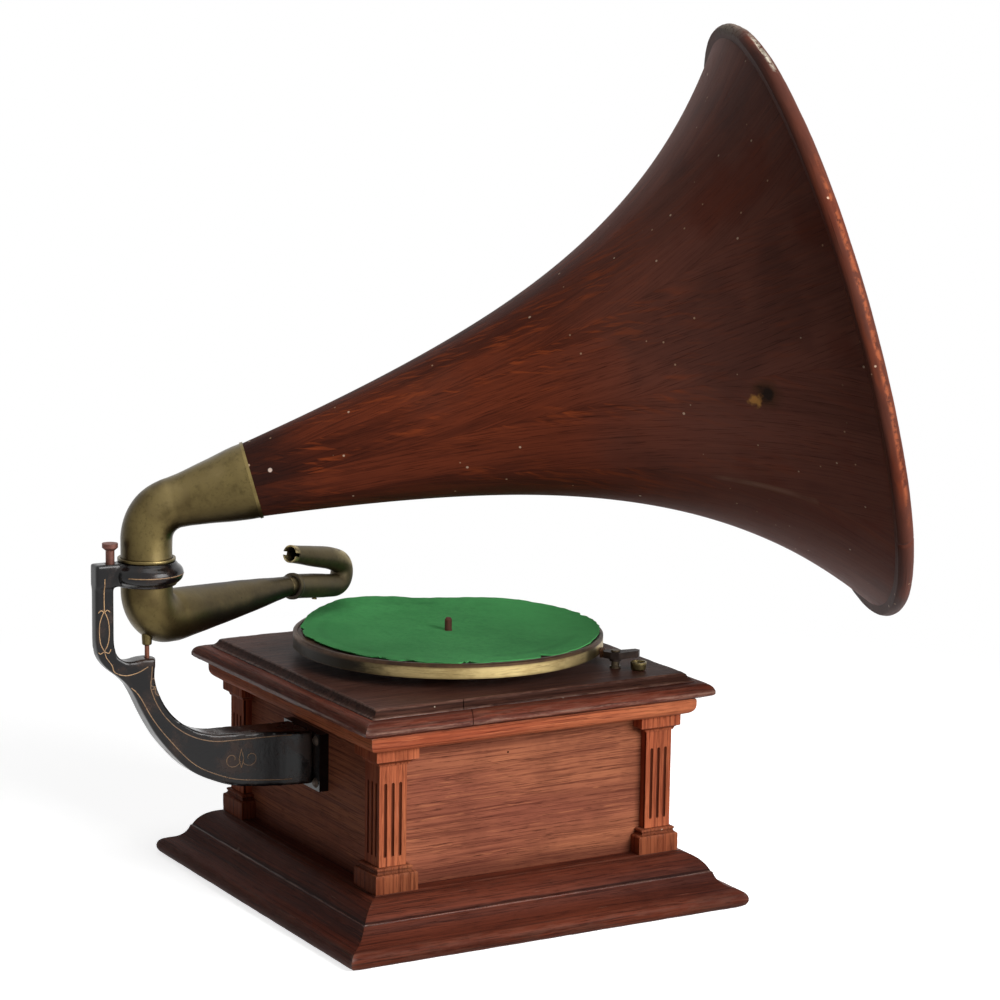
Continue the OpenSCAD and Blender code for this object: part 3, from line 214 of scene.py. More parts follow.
class Value:
    """A socket of a shader tree, on which Python's operators add Math nodes."""

    def __init__(self, finish, socket):
        self.finish = finish
        self.socket = socket

    def math(self, operation, *operands):
        sockets = dict(enumerate(operands))
        node = self.finish.node("ShaderNodeMath", {"operation": operation}, sockets)
        return self.finish.out(node)

    def __add__(self, other):
        return self.math("ADD", self, other)

    def __radd__(self, other):
        return self.math("ADD", other, self)

    def __sub__(self, other):
        return self.math("SUBTRACT", self, other)

    def __rsub__(self, other):
        return self.math("SUBTRACT", other, self)

    def __mul__(self, other):
        return self.math("MULTIPLY", self, other)

    def __rmul__(self, other):
        return self.math("MULTIPLY", other, self)

    def __truediv__(self, other):
        return self.math("DIVIDE", self, other)

    def __rtruediv__(self, other):
        return self.math("DIVIDE", other, self)

    def __pow__(self, other):
        return self.math("POWER", self, other)

    def __rpow__(self, other):
        return self.math("POWER", other, self)

    def __abs__(self):
        return self.math("ABSOLUTE", self)

    def highest(self, other):
        return self.math("MAXIMUM", self, other)

    def lowest(self, other):
        return self.math("MINIMUM", self, other)

    def step(self, low, high):
        """0 at low and 1 at high, with a smooth change between them, whichever is greater."""
        turned = low > high
        sockets = {
            "Value": self,
            "From Min": min(low, high),
            "From Max": max(low, high),
            "To Min": 1.0 if turned else 0.0,
            "To Max": 0.0 if turned else 1.0,
        }
        node = self.finish.node("ShaderNodeMapRange", {"interpolation_type": "SMOOTHSTEP"}, sockets)
        return self.finish.out(node, "Result")


class Finish:
    """The shader tree of one material, or of the world."""

    def __init__(self, name, library="materials"):
        self.owner = getattr(bpy.data, library).new(name)
        self.owner.use_nodes = True
        self.tree = self.owner.node_tree
        self.tree.nodes.clear()

    def node(self, kind, settings=None, sockets=None):
        """A node of a kind, with its settings first and then its sockets' values or links."""
        node = self.tree.nodes.new(kind)
        for key, value in (settings or {}).items():
            setattr(node, key, value)
        for key, value in (sockets or {}).items():
            if isinstance(value, Value):
                self.tree.links.new(value.socket, node.inputs[key])
            else:
                node.inputs[key].default_value = value
        return node

    def out(self, node, key=0):
        return Value(self, node.outputs[key])

    def place(self):
        """The point on the piece, in the object's own metres."""
        return self.out(self.node("ShaderNodeTexCoord"), "Object")

    def facing(self, way):
        """How far the surface faces a way, from -1 to 1."""
        normal = self.out(self.node("ShaderNodeTexCoord"), "Normal")
        return self.vector("DOT_PRODUCT", normal, way, "Value")

    def seen(self):
        """1 for what the camera sees, straight or by way of a mirror or glass."""
        path = self.node("ShaderNodeLightPath")
        straight, glossy, clear = (
            self.out(path, f"Is {kind} Ray") for kind in ("Camera", "Glossy", "Transmission")
        )
        return straight.highest(glossy).highest(clear)

    def mark(self, name, key="Fac"):
        """What a mesh says at a point, by the name of the attribute."""
        return self.out(self.node("ShaderNodeAttribute", {"attribute_name": name}), key)

    def vector(self, operation, first, second, key=0):
        sockets = {0: first, 1: second}
        return self.out(self.node("ShaderNodeVectorMath", {"operation": operation}, sockets), key)

    def stretch(self, vector, scale):
        return self.vector("MULTIPLY", vector, scale)

    def shift(self, vector, other):
        return self.vector("ADD", vector, other)

    def distance(self, vector, point):
        return self.vector("DISTANCE", vector, point, "Value")

    def parts(self, vector):
        node = self.node("ShaderNodeSeparateXYZ", None, {0: vector})
        return [self.out(node, i) for i in range(3)]

    def from_axis(self, vector):
        """The distance of a point from the Z axis."""
        x, y, _ = self.parts(vector)
        return (x * x + y * y) ** 0.5

    def cloud(self, vector, scale, detail=3.0, rough=0.55):
        """Soft noise, about 0.5 on average."""
        sockets = {"Vector": vector, "Scale": scale, "Detail": detail, "Roughness": rough}
        return self.out(self.node("ShaderNodeTexNoise", None, sockets))

    def streaks(self, vector, scales, detail=3.0, rough=0.55):
        """Soft noise with a scale of its own along each axis."""
        return self.cloud(self.stretch(vector, scales), 1.0, detail, rough)

    def wander(self, vector, scale, reach):
        """The point moved about by soft noise, up to about half of reach."""
        sockets = {"Vector": vector, "Scale": scale, "Detail": 2.0}
        colour = self.out(self.node("ShaderNodeTexNoise", None, sockets), "Color")
        return self.shift(vector, self.stretch(self.shift(colour, (-0.5,) * 3), reach))

    def dots(self, vector, scale, size, share):
        """Round dots of a size, in a share of the cells of a lattice."""
        node = self.node("ShaderNodeTexVoronoi", None, {"Vector": vector, "Scale": scale})
        chosen = self.parts(self.out(node, "Color"))[0].step(share, share * 0.98)
        return self.out(node, "Distance").step(size * scale, 0.6 * size * scale) * chosen

    def layers(self, colour, *layers):
        """A colour with others laid over it in turn, each as much as its amount says."""
        for amount, tint in layers:
            sockets = {0: amount, 6: self.shade(colour), 7: self.shade(tint)}
            colour = self.out(self.node("ShaderNodeMix", {"data_type": "RGBA"}, sockets), 2)
        return colour

    def blend(self, amount, first, second):
        """Two shaders, mixed."""
        sockets = {0: amount, 1: self.out(first), 2: self.out(second)}
        return self.node("ShaderNodeMixShader", None, sockets)

    @staticmethod
    def shade(colour):
        return colour if isinstance(colour, Value) else (*colour, 1.0)

    def surface(self, base, rough, height, depth, **constants):
        """A surface of a colour and roughness, with a height that bumps it."""
        bump = {"Strength": 1.0, "Distance": depth, "Height": height}
        normal = self.out(self.node("ShaderNodeBump", None, bump))
        sockets = {"Base Color": self.shade(base), "Roughness": rough, "Normal": normal}
        for key, value in constants.items():
            sockets[key.replace("_", " ")] = value
        return self.node("ShaderNodeBsdfPrincipled", None, sockets)

    def finish(self, shader, kind="Material"):
        self.node(f"ShaderNodeOutput{kind}", None, {"Surface": self.out(shader)})
        return self.owner


# ---------------------------------------------------------------- outlines


def arc(centre, radius, start, end, steps=8):
    """Points of an arc, with its angles in degrees."""
    points = []
    for i in range(steps + 1):
        angle = math.radians(start + (end - start) * i / steps)
        points.append((centre[0] + radius * math.cos(angle), centre[1] + radius * math.sin(angle)))
    return points


def curve(points, steps=4):
    """A smooth curve through points of two or three numbers."""
    points = [Vector(p) for p in points]
    line = []
    for i in range(len(points) - 1):
        a, b = points[max(i - 1, 0)], points[i]
        c, d = points[i + 1], points[min(i + 2, len(points) - 1)]
        for k in range(steps):
            t = k / steps
            square = (2 * a - 5 * b + 4 * c - d) * t * t
            line.append((2 * b + (c - a) * t + square + (3 * b - a - 3 * c + d) * t ** 3) / 2)
    return line + [points[-1]]


def between(points, x):
    """The height of a chain of points at x, smoothed at each point."""
    points = sorted(points)
    if x <= points[0][0]:
        return points[0][1]
    for i in range(len(points) - 1):
        (x0, y0), (x1, y1) = points[i], points[i + 1]
        if x <= x1:
            before = points[max(i - 1, 0)]
            after = points[min(i + 2, len(points) - 1)]
            m0 = (y1 - before[1]) / (x1 - before[0]) if x1 > before[0] else 0
            m1 = (after[1] - y0) / (after[0] - x0) if after[0] > x0 else 0
            t, span = (x - x0) / (x1 - x0), x1 - x0
            return (
                (2 * t ** 3 - 3 * t ** 2 + 1) * y0
                + (t ** 3 - 2 * t ** 2 + t) * span * m0
                + (3 * t ** 2 - 2 * t ** 3) * y1
                + (t ** 3 - t ** 2) * span * m1
            )
    return points[-1][1]


def clamped(value):
    """A value held between 0 and 1."""
    return max(0.0, min(1.0, value))


def peak(value, middle, half):
    """1 at a middle, falling straight to 0 at half a width on both sides of it."""
    return max(0.0, 1 - abs(value - middle) / half)


def softened(outline, radius, steps=3):
    """A closed outline whose sharp corners are rounded by short arcs."""
    points = [Vector(p) for p in outline]
    result = []
    for i, corner in enumerate(points):
        back, on = points[i - 1] - corner, points[(i + 1) % len(points)] - corner
        turn = math.pi - back.angle(on) if back.length > 1e-6 and on.length > 1e-6 else 0
        if turn < SHARP_TURN:
            result.append(corner)
            continue
        reach = min(radius * math.tan(turn / 2), 0.45 * back.length, 0.45 * on.length)
        first, last = corner + back.normalized() * reach, corner + on.normalized() * reach
        for k in range(steps + 1):
            t = k / steps
            result.append(first * (1 - t) ** 2 + corner * 2 * t * (1 - t) + last * t * t)
    return result


def evenly(outline, gap, closed=True):
    """An outline or an open line with more points, no further apart than a gap."""
    result = []
    for start, end in zip(outline, outline[1:] + outline[:1] if closed else outline[1:]):
        parts = max(1, math.ceil((end - start).length / gap))
        result += [start.lerp(end, k / parts) for k in range(parts)]
    return result if closed else result + [outline[-1]]


def outline_marks(outline, reach=1.5):
    """For each point of a closed outline: its outward normal, how convex and how hollow it is."""
    count = len(outline)
    area = sum(a.x * b.y - b.x * a.y for a, b in zip(outline, outline[1:] + outline[:1]))
    way = 1 if area > 0 else -1
    turns, normals = [], []
    for i in range(count):
        back, here, on = outline[i - 1], outline[i], outline[(i + 1) % count]
        first, last = here - back, on - here
        turns.append(way * math.atan2(first.x * last.y - first.y * last.x, first.dot(last)))
        along = (first.normalized() + last.normalized()).normalized()
        normals.append(Vector((along.y, -along.x)) * way)
    marks = []
    for i in range(count):
        convex = hollow = 0.0
        for direction in (-1, 1):
            walked, k = 0.0, i if direction == 1 else i - 1
            while walked <= reach:
                near = 1 - walked / reach
                convex += near * max(turns[k % count], 0)
                hollow += near * max(-turns[k % count], 0)
                onward = outline[(k + direction) % count] - outline[k % count]
                walked += max(onward.length, 1e-3)
                k += direction
        marks.append((normals[i], min(convex / FULL_TURN, 1), min(hollow / FULL_TURN, 1)))
    return marks


# ---------------------------------------------------------------- meshes


def make_piece(name, points, faces, material, body, nodes=(), crease=38, marks=None):
    """A smooth mesh in the model's frame that rides on a body and stands for its nodes."""
    mesh = bpy.data.meshes.new(name)
    mesh.from_pydata([tuple(p) for p in points], [], faces)
    for key, values in (marks or {}).items():
        vector = not isinstance(values[0], (int, float))
        layer = mesh.attributes.new(key, "FLOAT_VECTOR" if vector else "FLOAT", "POINT")
        flat = [c for v in values for c in v] if vector else values
        layer.data.foreach_set("vector" if vector else "value", flat)
    mesh.validate()
    return add_mesh(name, mesh, material, body, nodes, crease)


def add_mesh(name, mesh, material, body, nodes=(), crease=38):
    mesh.polygons.foreach_set("use_smooth", [True] * len(mesh.polygons))
    mesh.set_sharp_from_angle(angle=math.radians(crease))
    mesh.materials.clear()
    mesh.materials.append(material)
    mesh.update()
    piece = link_object(name, mesh)
    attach(piece, body)
    if nodes:
        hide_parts(*nodes)
    return piece


def link_object(name, data):
    """A new object in the scene."""
    item = bpy.data.objects.new(name, data)
    bpy.context.scene.collection.objects.link(item)
    return item


def evaluated_mesh(item, least=1000):
    """A new mesh of an object with its modifiers applied, which must have enough faces."""
    bpy.context.view_layer.update()
    depsgraph = bpy.context.evaluated_depsgraph_get()
    mesh = bpy.data.meshes.new_from_object(item.evaluated_get(depsgraph))
    if len(mesh.polygons) < least:
        raise RuntimeError(f"the mesh of {item.name} came out empty")
    return mesh


def join_rings(count, around, closed_path=False, closed_ring=True):
    """Faces that join rings of points, each with as many points around."""
    faces = []
    for i in range(count if closed_path else count - 1):
        for k in range(around if closed_ring else around - 1):
            here, on = i * around, ((i + 1) % count) * around
            after = (k + 1) % around
            faces.append((here + k, here + after, on + after, on + k))
    return faces


def closed_rings(count, around):
    """Faces that join rings of points, with a face over each end."""
    last = (count - 1) * around
    ends = [tuple(range(around))[::-1], tuple(range(last, last + around))]
    return join_rings(count, around) + ends


def add_part(points, faces, more, more_faces):
    """Adds the points and faces of a part to those of its piece."""
    start = len(points)
    points += more
    faces += [tuple(start + i for i in face) for face in more_faces]


def spun(outline, around):
    """The points of an outline of (radius, height) in millimetres, turned round Z."""
    points = []
    for k in range(around):
        angle = 2 * math.pi * k / around
        points += [Vector((r * math.cos(angle), r * math.sin(angle), z)) * MM for r, z in outline]
    return points


def turned(outline, around):
    """A closed outline of (radius, height) turned round Z."""
    return spun(outline, around), join_rings(around, len(outline), closed_path=True)


def turned_solid(outline, around):
    """An outline of (radius, height) that starts and ends on the axis, turned round Z."""
    inner = outline[1:-1]
    size = len(inner)
    points = spun(inner, around)
    faces = join_rings(around, size, closed_path=True, closed_ring=False)
    first, last = len(points), len(points) + 1
    points += [Vector((0, 0, outline[0][1])) * MM, Vector((0, 0, outline[-1][1])) * MM]
    for k in range(around):
        on = (k + 1) % around
        faces.append((first, on * size, k * size))
        faces.append((last, k * size + size - 1, on * size + size - 1))
    return points, faces


def tube(stations, around, wobble=0.0, seed=0.0):
    """A tube whose bore is set by stations, in millimetres.

    A station is (centre, direction, outer radius, inner radius), and its side is Y.
    """
    rings, inner = [], []
    side = Vector((0, 1, 0))
    for centre, direction, outer_r, inner_r in stations:
        up = Vector(direction).normalized().cross(side)
        for store, radius in ((rings, outer_r), (inner, inner_r)):
            ring = []
            for k in range(around):
                angle = 2 * math.pi * k / around
                out = side * math.cos(angle) + up * math.sin(angle)
                point = Vector(centre) + out * radius
                if wobble:
                    point += out * wobble * noise.noise(point * 0.045 + Vector((seed, seed, 0)))
                ring.append(point * MM)
            store.append(ring)
    rings += inner[::-1]
    return [p for ring in rings for p in ring], join_rings(len(rings), around, closed_path=True)


def in_metres(matrix):
    """A matrix whose shift is millimetres, with the shift in metres."""
    metres = matrix.copy()
    metres.translation = matrix.translation * MM
    return metres


def placed(points, matrix):
    """Points in a frame whose matrix has millimetres for its shift."""
    metres = in_metres(matrix)
    return [metres @ p for p in points]


def turn_z(angle):
    return Matrix.Rotation(math.radians(angle), 4, "Z")


def turn_y(angle):
    return Matrix.Rotation(math.radians(angle), 4, "Y")


def shifted(x, y, z):
    return Matrix.Translation((x, y, z))


QUARTERS = [turn_z(90 * side) for side in range(4)]
SHARP_TURN = math.radians(25)  # an outline's corner is rounded from here on
FULL_TURN = 0.9  # radians of turn near a point that count as a full edge or a full hollow


# ---------------------------------------------------------------- sizes

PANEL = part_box("front_panel")[0].y / -MM
PLINTH_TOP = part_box("front_panel")[0].z / MM
WALL_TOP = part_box("front_panel")[1].z / MM
CORNICE_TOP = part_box("cornice_mouldings")[1].z / MM
LID_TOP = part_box("lid_mouldings")[1].z / MM
BOARD_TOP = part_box("motor_board")[1].z / MM
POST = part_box("corner_posts")[1].x / MM
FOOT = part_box("plinth_mouldings")[1].x / MM
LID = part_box("lid_mouldings")[1].x / MM
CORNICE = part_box("cornice_mouldings")[1].x / MM
FELT_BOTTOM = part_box("turntable_felt")[0].z / MM
FELT_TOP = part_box("turntable_felt")[1].z / MM
RAIL_INNER = CORNICE - 30
CRACK_Y = 80.2  # where the left rail of the lid and the motor board have split

RING_Y, RING_Z = 326.5, 345.0  # the bracket's ring: its axis and the middle of its height
TUBE = 24.5  # outer radius of the arm and the elbow in the ring
WALL = 1.4  # thickness of the brass tubes
ARM_LENGTH, ARM_HEIGHT = 211, 298.5
ARM_BEND, ELBOW_BEND = 30, 36  # radii of the bends under and over the ring
ELBOW_HEIGHT = 377.27  # of the middle of the elbow's bend
NECK_LEG = 75.0  # from the gooseneck's seat to its first bend
NECK_BENDS = ((12.8, 165.5), (120, 10.5))  # radius and turn of its two bends
NECK_TUBE = 11.6
BOX_LEG = 57.0  # from its last bend to the open end
HORN_TURN = -23.3
HORN_START, HORN_END = 104, 641  # along the horn's axis, from the ring's axis
HORN_LENGTH = HORN_END - HORN_START

HORN_FRAME = (
    shifted(0, RING_Y, 404.4) @ turn_z(HORN_TURN) @ Matrix.Rotation(math.radians(74), 4, "X")
)
ARM_FRAME = shifted(0, RING_Y, 0) @ turn_z(-65)
ELBOW_FRAME = shifted(0, RING_Y, 0) @ turn_z(HORN_TURN - 90)
NECK_FRAME = ARM_FRAME @ shifted(ARM_LENGTH, 0, ARM_HEIGHT) @ turn_y(8)

# the ways towards the key light for brass and for the horn's wood: sides turned away get painted
# shade, and brass turned towards it a painted highlight
KEY_LIGHT_WAY = (-0.76, -0.12, 0.64)
KEY_LIGHT_WAY_WOOD = (-0.93, 0.03, 0.36)


def horn_radius(along):
    t = along - HORN_START
    return 35.8 + 0.1165 * t + 5.3 * (math.exp(3.56 * t / HORN_LENGTH) - 1)


def on_horn(angle, along):
    """A point on the outside of the horn in metres, from its angle and its place on the axis."""
    a, radius = math.radians(angle), horn_radius(along)
    return tuple((HORN_FRAME @ Vector((radius * math.cos(a), radius * math.sin(a), along))) * MM)


KNOT = on_horn(186, 565)
KNOT_RUBBED = on_horn(187.5, 555)
PAINT_SPOT = on_horn(164, 122)


# ---------------------------------------------------------------- finishes


def settings():
    return bpy.context.scene.gramophone


def tones(kind):
    """The dark, middle and light colour of a wood of the cabinet: oak, stain or post."""
    wood = settings().wood
    return [tuple(getattr(wood, f"{kind}_{tone}")) for tone in ("dark", "middle", "light")]


def stained_wood(
    name, grain, dark, middle, light, gloss=0.42, line=420.0, flutes=False, low=0.0, spots=()
):
    """Open-grained wood under an old stain. grain is x, y, z or mesh: the way the grain runs."""
    worn_edge = tuple(settings().wood.worn_edge)
    f = Finish(name)
    way = {"x": 0, "y": 1, "z": 2, "mesh": 0}[grain]

    def scale(along, across):
        return tuple(along if axis == way else across for axis in range(3))

    black = scaled(dark, 0.3)
    here = f.mark("grain", "Vector") if grain == "mesh" else f.place()
    loose = f.wander(here, 7.0, (0.005,) * 3)
    tone = f.streaks(loose, scale(2.6, 14.0), 4.0)
    broad = f.streaks(loose, scale(2.6, 140.0), 4.0, 0.6)
    lines = f.streaks(loose, scale(6.0, line), 4.0, 0.7)
    flecks = f.streaks(f.wander(here, 20.0, (0.006,) * 3), scale(17.0, 520.0), 2.0, 0.45)
    pore = f.streaks(here, scale(45.0, 1500.0), 2.0, 0.5).step(0.60, 0.70)
    scratch = f.streaks(here, scale(20.0, 700.0), 1.0).step(0.76, 0.81)
    patches = f.cloud(here, 13.0, 5.0, 0.62)
    wear = f.mark("wear")
    rubbed = wear * f.streaks(here, scale(34.0, 260.0), 4.0, 0.7).step(0.42, 0.60)
    colour = f.layers(
        middle,
        (tone.step(0.32, 0.7) * 0.8, light),
        (broad.step(0.44, 0.68) * 0.4, dark),
        (lines.step(0.46, 0.66) * 0.72, dark),
        (flecks.step(0.60, 0.70) * 0.5, light),
        (pore * 0.6, black),
        (patches.step(0.46, 0.70) * 0.45, scaled(middle, 0.55)),
        # darker in the hollows and splits that the meshes mark
        ((f.mark("grime") * (0.6 + patches * 0.5)).lowest(0.9), black),
        (rubbed * 0.55, worn_edge),
        (scratch * 0.4, worn_edge),
    )
    x, y, z = f.parts(f.place())
    if flutes:
        # the floors of the flutes, just behind the faces of the posts
        face = abs(x).highest(abs(y))
        sunk = face.step(0.1624, 0.1614) * face.step(0.1595, 0.1602)
        colour = f.layers(colour, (sunk * 0.85, black))
    if low:
        colour = f.layers(colour, (z.step(0.076, 0.052) * low, scaled(dark, 0.6)))
    colour = f.layers(
        colour,
        (f.dots(here, 34.0, 0.0010, 0.4) * 0.85, srgb(206, 190, 168)),
        *(
            (f.distance(f.place(), point).step(size, size * 0.5) * 0.9, tint)
            for point, size, tint in spots
        ),
    )
    rough = gloss + patches * 0.16 + rubbed * 0.1
    height = (lines * 0.3 + tone * 0.35) - pore * 0.5
    polish = wear.step(0.15, 0.6) * 0.4
    return f.finish(f.surface(
        colour, rough, height, 0.0004,
        Specular_IOR_Level=0.025, Coat_Weight=polish, Coat_Roughness=0.24,
    ))


def horn_wood(name, bell=True, shade=1.0):
    """Quarter-sawn oak stained dark red-brown, with flecks that run along the horn.

    The bell has the marks of its seams, its knot and its paint spot, and the roll has not.
    """
    wood = settings().wood
    dark, flame = tuple(wood.horn_dark), tuple(wood.horn_flame)
    black = scaled(dark, 0.4)
    f = Finish(name)
    here = f.mark("grain", "Vector")
    spot = f.place()

    def slanted(angle, scale):
        sockets = {"Vector": curly, "Angle": angle}
        turn = f.node("ShaderNodeVectorRotate", {"rotation_type": "Z_AXIS"}, sockets)
        return f.streaks(f.out(turn), scale, 2.0, 0.5)

    loose = f.wander(here, 6.0, (0.03, 0.016, 0.0))
    curly = f.wander(here, 26.0, (0.012, 0.010, 0.0))
    along = f.parts(here)[0]
    tone = f.streaks(loose, (3.2, 17.0, 9.0), 4.0, 0.6)
    broad = f.streaks(loose, (4.5, 62.0, 9.0), 4.0, 0.6)
    fine = f.streaks(loose, (9.0, 430.0, 9.0), 4.0, 0.7)
    pore = f.streaks(here, (40.0, 1400.0, 9.0), 2.0, 0.5).step(0.60, 0.70)
    where = f.streaks(loose, (5.0, 22.0, 9.0), 3.0, 0.5)
    flecked = where.step(0.38, 0.55) * along.step(0.60, 0.40).highest(0.22)
    mist = f.cloud(f.wander(spot, 4.0, (0.05,) * 3), 9.0, 3.0, 0.5)
    haze = f.cloud(spot, 6.0, 5.0, 0.6)
    calm = 1 - along.step(0.32, 0.52) * 0.6
    mouth = along.step(0.34, 0.5)
    # painted shade on the sides turned away from the key light, weaker towards the mouth, with a
    # darker band near the narrow end
    dull_and_shade = (f.facing(KEY_LIGHT_WAY_WOOD) + (haze - 0.5) * 0.5).step(0.72, -0.05)
    if bell:
        dull_and_shade = dull_and_shade * (1 - along.step(0.36, 0.56) * 0.72)
        dull_and_shade = dull_and_shade.highest(along.step(0.172, 0.122) * (0.55 + haze))
    colour = f.layers(
        tuple(wood.horn_middle),
        (along.step(0.36, 0.56) * 0.85, scaled(wood.horn_bell, shade * 1.36)),
        (tone.step(0.38, 0.70) * calm * 0.62, dark),
        (broad.step(0.44, 0.68) * calm * 0.42, dark),
        (fine.step(0.46, 0.66) * calm * 0.5, dark),
        (mist.step(0.50, 0.66) * mouth * 0.55, srgb(104, 46, 30)),
        (mist.step(0.46, 0.34) * mouth * 0.35, srgb(58, 40, 37)),
        (slanted(-0.34, (34.0, 300.0, 9.0)).step(0.54, 0.70) * flecked * 0.5, flame),
        (slanted(-0.24, (22.0, 150.0, 9.0)).step(0.54, 0.68) * flecked * 0.42, flame),
        (pore * 0.5, black),
        (haze.step(0.5, 0.75) * 0.25, srgb(84, 62, 54)),
        # the painted shade, in a dark brown
        (dull_and_shade * (0.66 if bell else 0.5), srgb(40, 27, 25)),
        (f.dots(spot, 42.0, 0.0015, 0.75) * 0.9, srgb(205, 176, 150)),
        (f.dots(f.shift(spot, (0.4, 0.1, 0.7)), 80.0, 0.0012, 0.22) * 0.8, srgb(186, 150, 120)),
    )
    if bell:
        outside = f.mark("outside")
        knot = f.distance(f.wander(spot, 90.0, (0.012,) * 3), KNOT)
        rubbed = f.distance(f.wander(spot, 140.0, (0.014,) * 3), KNOT_RUBBED)
        paint = f.distance(spot, PAINT_SPOT)
        colour = f.layers(
            colour,
            (f.mark("seam") * 0.12, black),
            (f.mark("glue") * mist.step(0.42, 0.56) * 0.4, srgb(160, 124, 104)),
            (knot.step(0.020, 0.007) * outside * 0.55, srgb(62, 46, 28)),
            (knot.step(0.010, 0.004) * outside * 0.85, srgb(26, 24, 22)),
            (rubbed.step(0.0085, 0.003) * outside * 0.85, srgb(204, 146, 78)),
            (paint.step(0.0024, 0.0015) * outside, srgb(232, 206, 190)),
        )
    bare = f.mark("wear") * f.cloud(spot, 110.0, 5.0, 0.75).step(0.44, 0.58)
    chip = f.mark("chip") * f.cloud(spot, 170.0, 4.0, 0.7).step(0.38, 0.52)
    colour = f.layers(colour, (bare * 0.7, srgb(168, 92, 60)), (chip, srgb(206, 196, 178)))
    rough = 0.46 + haze * 0.12 + bare * 0.15 + chip * 0.3
    height = fine * 0.25 + broad * 0.3 + tone * 0.5 - pore * 0.4
    return f.finish(f.surface(colour, rough, height, 0.0004, Specular_IOR_Level=0.03))


def aged_metal(
    name, clean, tarnish, rough=0.32, spread=0.5, gone=None, metallic=1.0, shaded=0.0
):
    """Metal with tarnish in clouds, rubbed bright where the mesh says wear.

    gone is (a point on an upright axis, where a deep tarnish starts, where it is full, its
    colour), and shaded is how much painted shade falls on the sides turned away from the key
    light, and painted highlight on the side turned towards it.
    """
    bright = tuple(settings().metals.bright)
    f = Finish(name)
    here = f.place()
    clouds = f.cloud(f.wander(here, 20.0, (0.02,) * 3), 22.0, 5.0, 0.62)
    fine = f.cloud(here, 260.0, 4.0, 0.7)
    level = clouds.step(spread - 0.18, spread + 0.2)
    colour = f.layers(
        clean, (level, tarnish), (fine.step(0.5, 0.7) * 0.35, scaled(tarnish, 0.5))
    )
    roughness = rough + level * 0.12 + fine * 0.1
    if gone:
        axis, near, far, deep = gone
        reach = f.from_axis(f.shift(here, tuple(-part for part in axis)))
        sunk = (reach + (clouds - 0.5) * 0.05).step(near, far)
        colour = f.layers(colour, (sunk, deep))
        roughness = roughness + sunk * 0.06
    if shaded:
        # painted shade on the sides turned away from the key light, a painted highlight on the side
        # towards it, then tarnish in patches
        side = f.facing(KEY_LIGHT_WAY) + (clouds - 0.5) * 0.6
        patches = f.cloud(here, 70.0, 4.0, 0.6)
        colour = f.layers(
            colour,
            (side.step(0.78, 0.05) * shaded, scaled(tarnish, 0.35)),
            (side.step(0.62, 1.02) * (0.5 + fine) * shaded * 0.62, bright),
            (patches.step(0.5, 0.72) * shaded * 0.5, scaled(tarnish, 0.6)),
        )
    wear = f.mark("wear") * f.cloud(here, 120.0, 3.0, 0.7).step(0.36, 0.6)
    pits = f.dots(here, 120.0, 0.0009, 0.10)
    colour = f.layers(colour, (wear, bright), (pits * 0.6, scaled(tarnish, 0.3)))
    height = fine * 0.5 + clouds * 0.5 - pits * 0.3
    return f.finish(f.surface(colour, roughness - wear * 0.1, height, 0.00025, Metallic=metallic))


def black_enamel(name, worn):
    """Glossy black enamel, rubbed brown in places."""
    metals = settings().metals
    f = Finish(name)
    here = f.place()
    clouds = f.cloud(f.wander(here, 25.0, (0.02,) * 3), 26.0, 5.0, 0.65)
    fine = f.cloud(here, 420.0, 3.0, 0.7)
    thin = clouds.step(0.5, 0.68) * worn
    colour = f.layers(
        tuple(metals.enamel),
        (thin, tuple(metals.enamel_worn)),
        (fine.step(0.6, 0.75) * thin, srgb(116, 82, 58)),
        (f.mark("wear") * fine.step(0.35, 0.6) * 0.6, srgb(128, 100, 76)),
    )
    rough = 0.14 + clouds * 0.1 + thin * 0.2
    height = clouds * 0.6 + fine * 0.2
    return f.finish(f.surface(colour, rough, height, 0.0003, Specular_IOR_Level=0.32))


def plain_metal(name, colour, rough, metallic=1.0, grain=300.0):
    """Bare metal inside the machine, with turning marks and a film of oil."""
    f = Finish(name)
    here = f.place()
    film = f.cloud(here, 30.0, 4.0)
    turning = f.cloud(f.stretch(here, (1.0, 1.0, 6.0)), grain, 3.0)
    shaded = f.layers(colour, (film.step(0.45, 0.75) * 0.5, scaled(colour, 0.45)))
    return f.finish(f.surface(shaded, rough + film * 0.15, turning, 0.0001, Metallic=metallic))


def plated_band():
    """The turntable's plated band, dulled in patches and scuffed along the rim, with a painted dark
    reflection over the side that faces +X and +Y.
    """
    metals = settings().metals
    dull_and_shade = tuple(metals.band_dark)
    f = Finish("rim_plate")
    here = f.place()
    x, y, z = f.parts(here)
    clouds = f.streaks(here, (20.0, 20.0, 60.0), 5.0, 0.65)
    scuffs = f.streaks(here, (60.0, 60.0, 900.0), 3.0, 0.6)
    # a painted dark reflection: the side that faces +X and +Y is darkened and made less metallic
    side = (x * 0.503 + y * 0.864) / f.from_axis(here) + (clouds - 0.5) * 0.5
    painted_dark_side = side.step(0.10, 0.62)
    patch = f.distance(here, (-0.1250, -0.0920, 0.2500)).step(0.018, 0.008)
    edge = z.step(0.2530, 0.2550).highest(z.step(0.2460, 0.2442))
    colour = f.layers(
        tuple(metals.band),
        (clouds.step(0.45, 0.7) * 0.6, srgb(120, 98, 56)),
        (scuffs.step(0.52, 0.7) * 0.4, srgb(90, 76, 48)),
        (painted_dark_side * 0.97, dull_and_shade),
        (patch * 0.6, dull_and_shade),
        (edge * 0.5, srgb(86, 64, 42)),
    )
    height = scuffs * 0.3 + clouds * 0.7
    return f.finish(f.surface(
        colour, 0.3 + clouds * 0.16, height, 0.0003,
        Metallic=1 - painted_dark_side * 0.95, Specular_IOR_Level=0.1,
    ))


